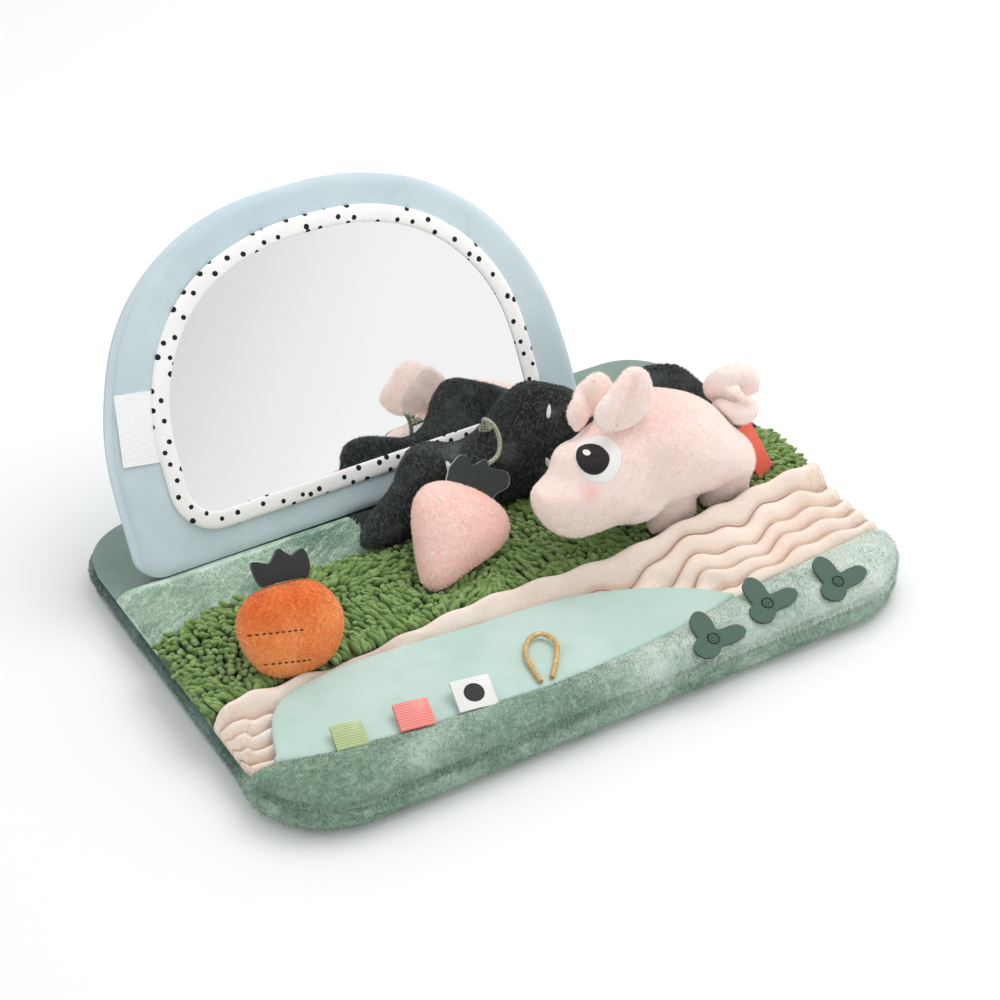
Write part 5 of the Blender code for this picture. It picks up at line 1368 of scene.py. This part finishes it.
for back in (False, True):
    stitches = running_stitch("carrot_stitches" + ("_rear" if back else ""), carrot, CARROT_AT, CARROT_ROWS,
                              "carrot", brown_thread, "orange_velvet", back=back)
    bare += [(vertex.co.copy(), 0.0013) for vertex in list(stitches.data.vertices)[::15]]
furred(carrot, count=14000, length=0.0017, width=0.0004, lean=(0.1, -0.2, -0.7), seed=32, bare=bare)
black_felt = felt_finish("black_felt", paint(52, 54, 55), paint(34, 36, 37))
softened("carrot_crown_felt", "carrot_leaves", 0.0007, "carrot", black_felt, 0.0002)


# Strawberry
# A flat stuffed strawberry of pale coral velvet with stitched seeds and felt leaves, tied to the bush
# by its elastic.
BERRY_AT = Matrix.Translation((-0.02481, -0.00380, 0.04855)) @ turned(-40, "X")
coral_velvet = plush_finish("coral_velvet", paint(255, 216, 203), paint(255, 232, 223), paint(255, 203, 189),
                            nap=(1.0, 1.0, 0.4), streak=520, fuzz=1500, depth=0.0007, sheen=0.4, lift=0.50,
                            lie=0.5)
berry = stuffed("strawberry_velvet", ["strawberry_body"], voxel=0.0030, cap=0.0030, body="strawberry",
                finish=coral_velvet)
pale_satin = satin_finish("pale_satin", paint(255, 232, 222), paint(246, 206, 192))
bare = []
SEEDS = ((-0.0073, 0.0173, 80.0), (0.0163, 0.0018, -60.0), (-0.0222, -0.0087, 70.0), (-0.0252, -0.0200, 50.0))
for back in (False, True):
    for number, (x, up, tilt) in enumerate(SEEDS, 1):
        turn = turned(tilt, "Z")
        shape = [turn @ Vector((0.0021 * math.cos(a), 0.0009 * math.sin(a) * (1 + 0.35 * math.cos(a)), 0.0))
                 + Vector((x, up, 0.0)) for a in (math.tau * k / 18 for k in range(18))]
        points, faces = patch(shape, rings=3, dome=0.0005)
        points = on_skin(berry, *facing(BERRY_AT), points, 0.0002, back)
        name = "strawberry_seed_%d%s" % (number, "_rear" if back else "")
        sew(name, points, faces, "strawberry", pale_satin, "coral_velvet", (), 0)
        bare.append((points[-1], 0.0022))
furred(berry, count=12000, length=0.0013, width=0.00035, lean=(0.2, -0.2, -0.6), seed=33, bare=bare)
CALYX_OUTLINE = (
    (-0.69, -0.14), (-0.56, 0.27), (-0.37, 0.42), (-0.16, 0.51), (-0.02, 0.42), (0.03, 0.22),
    (0.37, 0.25), (0.41, 0.04), (0.76, -0.18), (0.68, -0.47), (0.34, -0.55), (0.00, -0.71))
CALYX_SIZE = 0.0245
CALYX_THICKNESS = 0.0016
grey_felt = felt_finish("grey_felt", paint(54, 61, 59), paint(42, 48, 46), paint(180, 188, 184),
                        CALYX_THICKNESS * 0.6)
calyx = sew("strawberry_leaves_felt", *cut_felt(smooth_loop(CALYX_OUTLINE, 108, CALYX_SIZE), CALYX_THICKNESS),
            "strawberry", grey_felt, "black_felt", ["strawberry_leaves"], 50,
            BERRY_AT @ Matrix.Translation((0.0198, 0.0, 0.0235)) @ turned(90, "X"))
CORD_ROUTE = (
    (0.01604, 0.03591, 0.07838), (0.01557, 0.03540, 0.07937), (0.01493, 0.03468, 0.08075),
    (0.01448, 0.03387, 0.08191), (0.01434, 0.03305, 0.08271), (0.01439, 0.03215, 0.08330),
    (0.01466, 0.03116, 0.08348), (0.01527, 0.03004, 0.08316), (0.01610, 0.02881, 0.08243),
    (0.01677, 0.02754, 0.08144), (0.01717, 0.02619, 0.08017), (0.01741, 0.02479, 0.07864),
    (0.01744, 0.02347, 0.07710), (0.01725, 0.02227, 0.07558), (0.01685, 0.02114, 0.07406),
    (0.01627, 0.02008, 0.07271), (0.01550, 0.01911, 0.07159), (0.01455, 0.01821, 0.07063),
    (0.01345, 0.01737, 0.06989), (0.01217, 0.01656, 0.06939), (0.01073, 0.01579, 0.06911),
    (0.00927, 0.01511, 0.06896), (0.00765, 0.01447, 0.06896), (0.00600, 0.01391, 0.06909),
    (0.00484, 0.01352, 0.06919))
cord_mesh = round_cord(CORD_ROUTE, LOOP_DIAMETER, ridge=0.00030, pitch=0.0013)
cord = sew("strawberry_cord_elastic", *cord_mesh, "strawberry", elastic_thread, "elastic_cord",
           ["strawberry_cord"], 60)


# Pig
# A stuffed pig of pink fleece: body, head and legs are sewn into one skin, and the ears and the curled
# tail are sewn on. Its eyes are embroidered, and a bare red tag hangs from its side seam.
PIG_AT = Matrix.Translation((0.09994, -0.03589, 0.02900)) @ turned(8, "Z") @ turned(-12, "X")
PIG_FILLETS = [PIG_AT @ Matrix.LocRotScale(Vector(place), None, Vector(size)) for place, size in (
    ((-0.0350, -0.003, 0.0225), (0.0200, 0.0140, 0.0115)),
    ((0.0120, -0.001, 0.0195), (0.0175, 0.0130, 0.0105)),
    ((-0.0640, 0.000, 0.0585), (0.0175, 0.0190, 0.0140)))]
BLUSH = [PIG_AT @ Vector((-0.0750, end * 0.0172, 0.0510)) for end in (-1, 1)]
rosy = dict(base=paint(255, 216, 203), light=paint(255, 232, 223), dark=paint(246, 194, 180))
pink_plush = plush_finish("pink_plush", paint(255, 237, 230), paint(255, 246, 241), paint(252, 221, 211),
                          nap=(1.0, 1.0, 1.0), streak=420, fuzz=1500, depth=0.0006, sheen=0.4, lift=0.5,
                          lie=0.45, pools=14.0, toward=(2, 0.090, 0.118, rosy),
                          blush=[(tuple(spot), 0.0085, paint(255, 178, 166)) for spot in BLUSH])
pig = stuffed("pig_plush", ["pig_body", "pig_head", "pig_front_leg", "pig_hind_leg"], voxel=0.0034,
              cap=0.0030, body="pig", finish=pink_plush, fillets=PIG_FILLETS)
pale_plush = plush_finish("pale_pink_plush", paint(255, 239, 232), paint(255, 247, 243), paint(254, 224, 215),
                          nap=(1.0, 1.0, 1.0), streak=420, fuzz=1800, depth=0.0005, sheen=0.4, lift=0.4,
                          lie=0.5, pools=30.0)
EAR_FOLDS = {"pig_near_ear": ((-0.0540, 0.0745), (-0.0370, 0.1090), 0.0036),
             "pig_far_ear": ((-0.0480, 0.0700), (-0.0500, 0.0985), 0.0026)}
for name, (base, tip, depth) in EAR_FOLDS.items():
    ear = stuffed(name + "_plush", [name], voxel=0.0020, cap=0.0012, body="pig", finish=pale_plush,
                  pressure=2.0, shrink=0.0, swell=0.0008)
    crease(ear, *facing(PIG_AT), base, tip, depth, width=0.0040, through=True)
    furred(ear, count=3000, length=0.0012, width=0.0003, lean=(0.0, -0.2, 0.5), seed=35)
tail = stuffed("pig_tail_plush", ["pig_tail"], voxel=0.0017, cap=0.0008, body="pig", finish=pale_plush,
               pressure=2.0, shrink=0.0, swell=0.0010)
furred(tail, count=4000, length=0.0012, width=0.0003, lean=(0.0, -0.2, -0.5), seed=36)
red_ribbon = satin_finish("red_ribbon_weave", paint(255, 122, 100), paint(246, 104, 84), pitch=5000.0)
side_tag_at = PIG_AT @ Matrix.Translation((0.0543, 0.0008, 0.0197)) @ turned(67, "Y") @ turned(90, "X")
side_tag_mesh = folded_ribbon(width=0.0370, reach=0.0062, tuck=0.0055, fold=0.0016)
sew("pig_side_tag_ribbon", *side_tag_mesh, "pig", red_ribbon, "red_ribbon", ["pig_side_tag"], 50, side_tag_at)
EYE_TALL = 1.14


def disc(x, up, radius, sides=48):
    """Outline of an embroidered round, drawn a little tall because the brow slopes away."""
    turns = [math.tau * k / sides for k in range(sides)]
    return [Vector((x + radius * math.cos(a), (up + radius * math.sin(a)) * EYE_TALL, 0.0)) for a in turns]


black_satin = satin_finish("black_satin", paint(34, 28, 30), paint(12, 10, 12))
bare = []
for back in (False, True):
    end, side = ("_rear", 1) if back else ("", -1)
    slope = 8 if back else 39
    eye_place = (-0.0585, 0.0165, 0.0505) if back else (-0.0637, -0.0148, 0.0670)
    eye_at = PIG_AT @ Matrix.Translation(eye_place) @ turned(side * 12, "Z") @ turned(side * slope, "X")
    eye_at = eye_at @ turned(20, "Y")
    bare.append((eye_at.translation.copy(), 0.0122))
    for part, x, up, radius, lift, finish in (
            ("eye_white", 0.0, 0.0, 0.0119, 0.0002, white_satin),
            ("eye_pupil", -0.0035, -0.0005, 0.0083, 0.0011, black_satin),
            ("eye_light", -0.0066, 0.0020, 0.0019, 0.0019, white_satin)):
        points, faces = patch(disc(x, up, radius), rings=8, dome=0.0006)
        points = on_skin(pig, *facing(eye_at), points, lift, back)
        sew("pig_" + part + end, points, faces, "pig", finish, "pink_plush", (), 0)
furred(pig, count=32000, length=0.0013, width=0.0003, lean=(0.2, -0.2, -0.6), seed=34, bare=bare)


# Mirror page
# A stiff page of foam in pale blue cotton, arched over its top. It is sewn to the mat along its foot and
# leans back on a support flap.
PAGE_AT = Matrix.Translation((-0.0361, 0.0617, 0.0273)) @ turned(-27.8, "X")
PAGE_WIDTH = 0.276
PAGE_HEIGHT = 0.181
PAGE_THICKNESS = 0.018
COVER_CLOTH = 0.0014
FOOT_STEPS = 60
TOP_STEPS = 120


def arch(width, height, straight, corner, exponent, inset, level, raise_by=0.0, wander=0.0):
    """Page outline at one level: flat foot, round lower corners, upright sides and an arched top."""
    half, top, bend = width / 2 - inset, height - inset, max(corner - inset, SEAM_GAP)
    line = [(half - bend - (2 * half - 2 * bend) * k / FOOT_STEPS, inset) for k in range(FOOT_STEPS + 1)]
    line.reverse()
    line += [(half - bend + bend * math.cos(a), inset + bend + bend * math.sin(a))
             for a in (math.radians(-90 + 90 * k / 8) for k in range(1, 9))]
    line += [(half, inset + bend + (straight - inset - bend) * k / 8) for k in range(1, 8)]
    line += [(half * math.copysign(abs(math.cos(a)) ** (2 / exponent), math.cos(a)),
              straight + (top - straight) * abs(math.sin(a)) ** (2 / exponent))
             for a in (math.pi * k / TOP_STEPS for k in range(TOP_STEPS + 1))]
    line += [(-half, straight - (straight - inset - bend) * k / 8) for k in range(1, 8)]
    line += [(-half + bend + bend * math.cos(a), inset + bend + bend * math.sin(a))
             for a in (math.radians(180 + 90 * k / 8) for k in range(8))]
    loop = [Vector((x, level, z + raise_by)) for x, z in line]
    for point in loop:
        point.y += wander * noise.noise(point * 34)
        share = 1 + 0.005 * noise.noise(Vector((point.x * 24, 3.0, point.z * 24))) * min(point.z / 0.03, 1.0)
        point.x *= share
        point.z *= share
    return loop


def page_loop(inset, level, wander=0.0):
    """The page's outline at one level."""
    return arch(PAGE_WIDTH, PAGE_HEIGHT, straight=0.037, corner=0.012, exponent=2.32, inset=inset,
                level=level, wander=wander)


sky_cotton = cotton_finish("sky_cotton", paint(196, 215, 221), paint(206, 222, 227), paint(181, 202, 210),
                           4600.0)
page_rear = PAGE_THICKNESS - COVER_CLOTH
cover_loops = [page_loop(inset, level, wander) for inset, level, wander in (
    (0.0340, 0.0, 0.0006), (0.0220, 0.0, 0.0010), (0.0130, 0.0, 0.0012), (0.0070, 0.0001, 0.0010),
    (0.0040, 0.0003, 0.0006), (0.0024, 0.0008, 0.0004), (0.0012, 0.0015, 0.0), (0.0006, 0.0020, 0.0),
    (0.0010, 0.0022, 0.0), (0.0010, 0.0025, 0.0), (0.0003, 0.0028, 0.0), (0.0, 0.0040, 0.0),
    (-0.0004, 0.0090, 0.0), (0.0, page_rear - 0.0016, 0.0), (0.0004, page_rear - SEAM_GAP, 0.0),
    (COVER_CLOTH, page_rear - SEAM_GAP, 0.0), (COVER_CLOTH, 0.0062, 0.0), (0.0086, COVER_CLOTH + 0.0004, 0.0),
    (0.0340, COVER_CLOTH + 0.0004, 0.0))]
cover = sew("page_front_cotton", *loft(cover_loops), "mirror_page", sky_cotton, "blue_cotton",
            ["page_front_cover"], 60, PAGE_AT)
rear_loops = [page_loop(inset, level, wander) for inset, level, wander in (
    (0.0004, page_rear, 0.0), (0.0, page_rear + 0.0005, 0.0), (0.0006, PAGE_THICKNESS - 0.0003, 0.0),
    (0.0030, PAGE_THICKNESS, 0.0), (0.0100, PAGE_THICKNESS, 0.0), (0.0340, PAGE_THICKNESS, 0.0))]
sew("page_back_cotton", *loft(rear_loops), "mirror_page", sky_cotton, "blue_cotton", ["page_back_cover"], 60,
    PAGE_AT)
foam_loops = [page_loop(inset, level) for inset, level in (
    (0.0106, 0.0022), (0.0020, 0.0086), (0.0020, page_rear - 0.0006), (0.0030, page_rear - SEAM_GAP))]
page_foam = sew("page_foam_board", *loft(foam_loops), "mirror_page", foam_board, "foam", ["page_foam"], 50,
                PAGE_AT)


# Mirror
# A thin sheet of silvered plastic with a slight ripple, held round its edge by a padded binding of
# white ribbon printed with black dots.
def mirror_finish():
    mirror = Finish("mirror_film")
    ripple = mirror.cloud(9, 1, mirror.place())
    return mirror.cover((0.95, 0.955, 0.96), 0.03, ripple, 0.0006, 0.5, Metallic=1.0)


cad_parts["mirror_sheet"].material_slots[0].material = mirror_finish()
BINDING_WIDTH = 0.0096
FRAME_WIDTH = 0.2277
FRAME_HEIGHT = 0.1479
FRAME_FOOT = 0.016


def frame_loop(inset, level, wander=0.0):
    """The binding's outline at one level."""
    return arch(FRAME_WIDTH, FRAME_HEIGHT, straight=0.040, corner=0.0256, exponent=2.3, inset=inset,
                level=level, raise_by=FRAME_FOOT, wander=wander)


def dotted_finish():
    """White ribbon with scattered black dots; its coordinates run along and across the ribbon."""
    ribbon = Finish("dotted_ribbon")
    run = ribbon.node("ShaderNodeAttribute", {"attribute_name": "ribbon_place"}, {}, 1)
    slant = ribbon.node("ShaderNodeMapping", {}, {"Vector": run, "Rotation": (0.0, 0.0, math.radians(45))})
    dot = ribbon.node("ShaderNodeTexVoronoi", {"voronoi_dimensions": "2D"},
                      {"Vector": slant, "Scale": 120.0, "Randomness": 0.72})
    size = ribbon.cloud(90, 0, slant) * 0.10
    weave = ribbon.cloud(1500, 2)
    worn = ribbon.part(ribbon.cloud(60, 3), 0.4, 0.7) * 0.4
    shade = ribbon.mix(worn, paint(255, 255, 253), paint(240, 241, 242))
    shade = ribbon.mix(ribbon.part(dot - size, 0.132, 0.110), shade, paint(26, 27, 30))
    return ribbon.cover(shade, 0.75, weave, 0.0003, 0.7)


binding_rows = ((0.0, -0.0003), (-0.0001, -0.0009), (0.0001, -0.0017), (0.0007, -0.0023), (0.0018, -0.0026),
                (0.0034, -0.0028), (0.0050, -0.0028), (0.0066, -0.0028), (0.0080, -0.0027), (0.0090, -0.0024),
                (0.0095, -0.0021), (BINDING_WIDTH, -0.0018), (0.0080, -0.0018), (0.0080, -0.0003))
binding_loops = [frame_loop(inset, level, 0.0003 if 0.001 < inset < 0.009 and level < -0.002 else 0.0)
                 for inset, level in binding_rows]
for line in binding_loops:
    line.append(line[-1].lerp(line[0], 0.98))
binding = sew("mirror_binding_ribbon", *loft(binding_loops, closed=True), "mirror_page", dotted_finish(),
              "dotted_cotton", ["mirror_binding"], 50, PAGE_AT)
middle = frame_loop(BINDING_WIDTH / 2, 0.0)
middle.append(middle[-1].lerp(middle[0], 0.98))
runs = [0.0]
for a, b in zip(middle, middle[1:]):
    runs.append(runs[-1] + (b - a).length)
ribbon_place = binding.data.attributes.new("ribbon_place", "FLOAT_VECTOR", "POINT")
for row, (inset, level) in enumerate(binding_rows):
    for k, run in enumerate(runs):
        ribbon_place.data[row * len(runs) + k].vector = (run, inset, 0.0)


# Label
# A blank white woven label at the page's left margin. Its right edge is caught under the binding, and it
# bulges a little in its middle.
LABEL_WIDTH = 0.022
LABEL_HEIGHT = 0.038
LABEL_CLOTH = 0.0006
LABEL_BULGE = 0.0003
label_weave = satin_finish("label_weave", paint(255, 255, 255), paint(251, 252, 253), across=(0.0, 0.0, 1.0),
                           pitch=5200.0)
label_at = PAGE_AT @ Matrix.Translation((-0.1341, -SEAM_GAP - LABEL_CLOTH / 2, 0.0630)) @ turned(8.5, "Y")
label_section = [(k / 12, -0.5) for k in range(13)] + [(k / 12, 0.5) for k in range(12, -1, -1)]
label_loops = []
for h in (k / 16 for k in range(17)):
    bulge = LABEL_BULGE * math.sin(math.pi * h)
    label_loops.append([
        Vector((LABEL_WIDTH * s, t * LABEL_CLOTH - bulge * math.sin(math.pi * s), LABEL_HEIGHT * h))
        for s, t in label_section])
sew("side_label_weave", *loft(label_loops), "mirror_page", label_weave, "white_ribbon", ["side_label"], 50,
    label_at)


# Support flap
# A stiff flap of the same twill on the page's back. Its toe grips the rear cover with a strip of hooks
# that catches in a strip of loops.
softened("support_flap_twill", "support_flap", 0.0011, "support_flap", dark_twill)


def grip_finish(name, base, light, scale):
    """Touch tape: rows of hooks or a mat of loops on a woven strip."""
    tape = Finish(name)
    at = tape.place()
    tuft = tape.node("ShaderNodeTexVoronoi", {}, {"Vector": at, "Scale": scale, "Randomness": 0.5})
    return tape.cover(tape.mix(tape.part(tuft, 0.2, 0.7), light, base), 0.8, tuft, 0.0006, 1.0)


softened("hook_strip_tape", "hook_strip", 0.0003, "support_flap",
         grip_finish("hook_tape", paint(40, 46, 43), paint(80, 88, 84), 900.0))
softened("loop_strip_tape", "loop_strip", 0.0003, "mat",
         grip_finish("loop_tape", paint(52, 60, 56), paint(92, 102, 96), 1500.0))
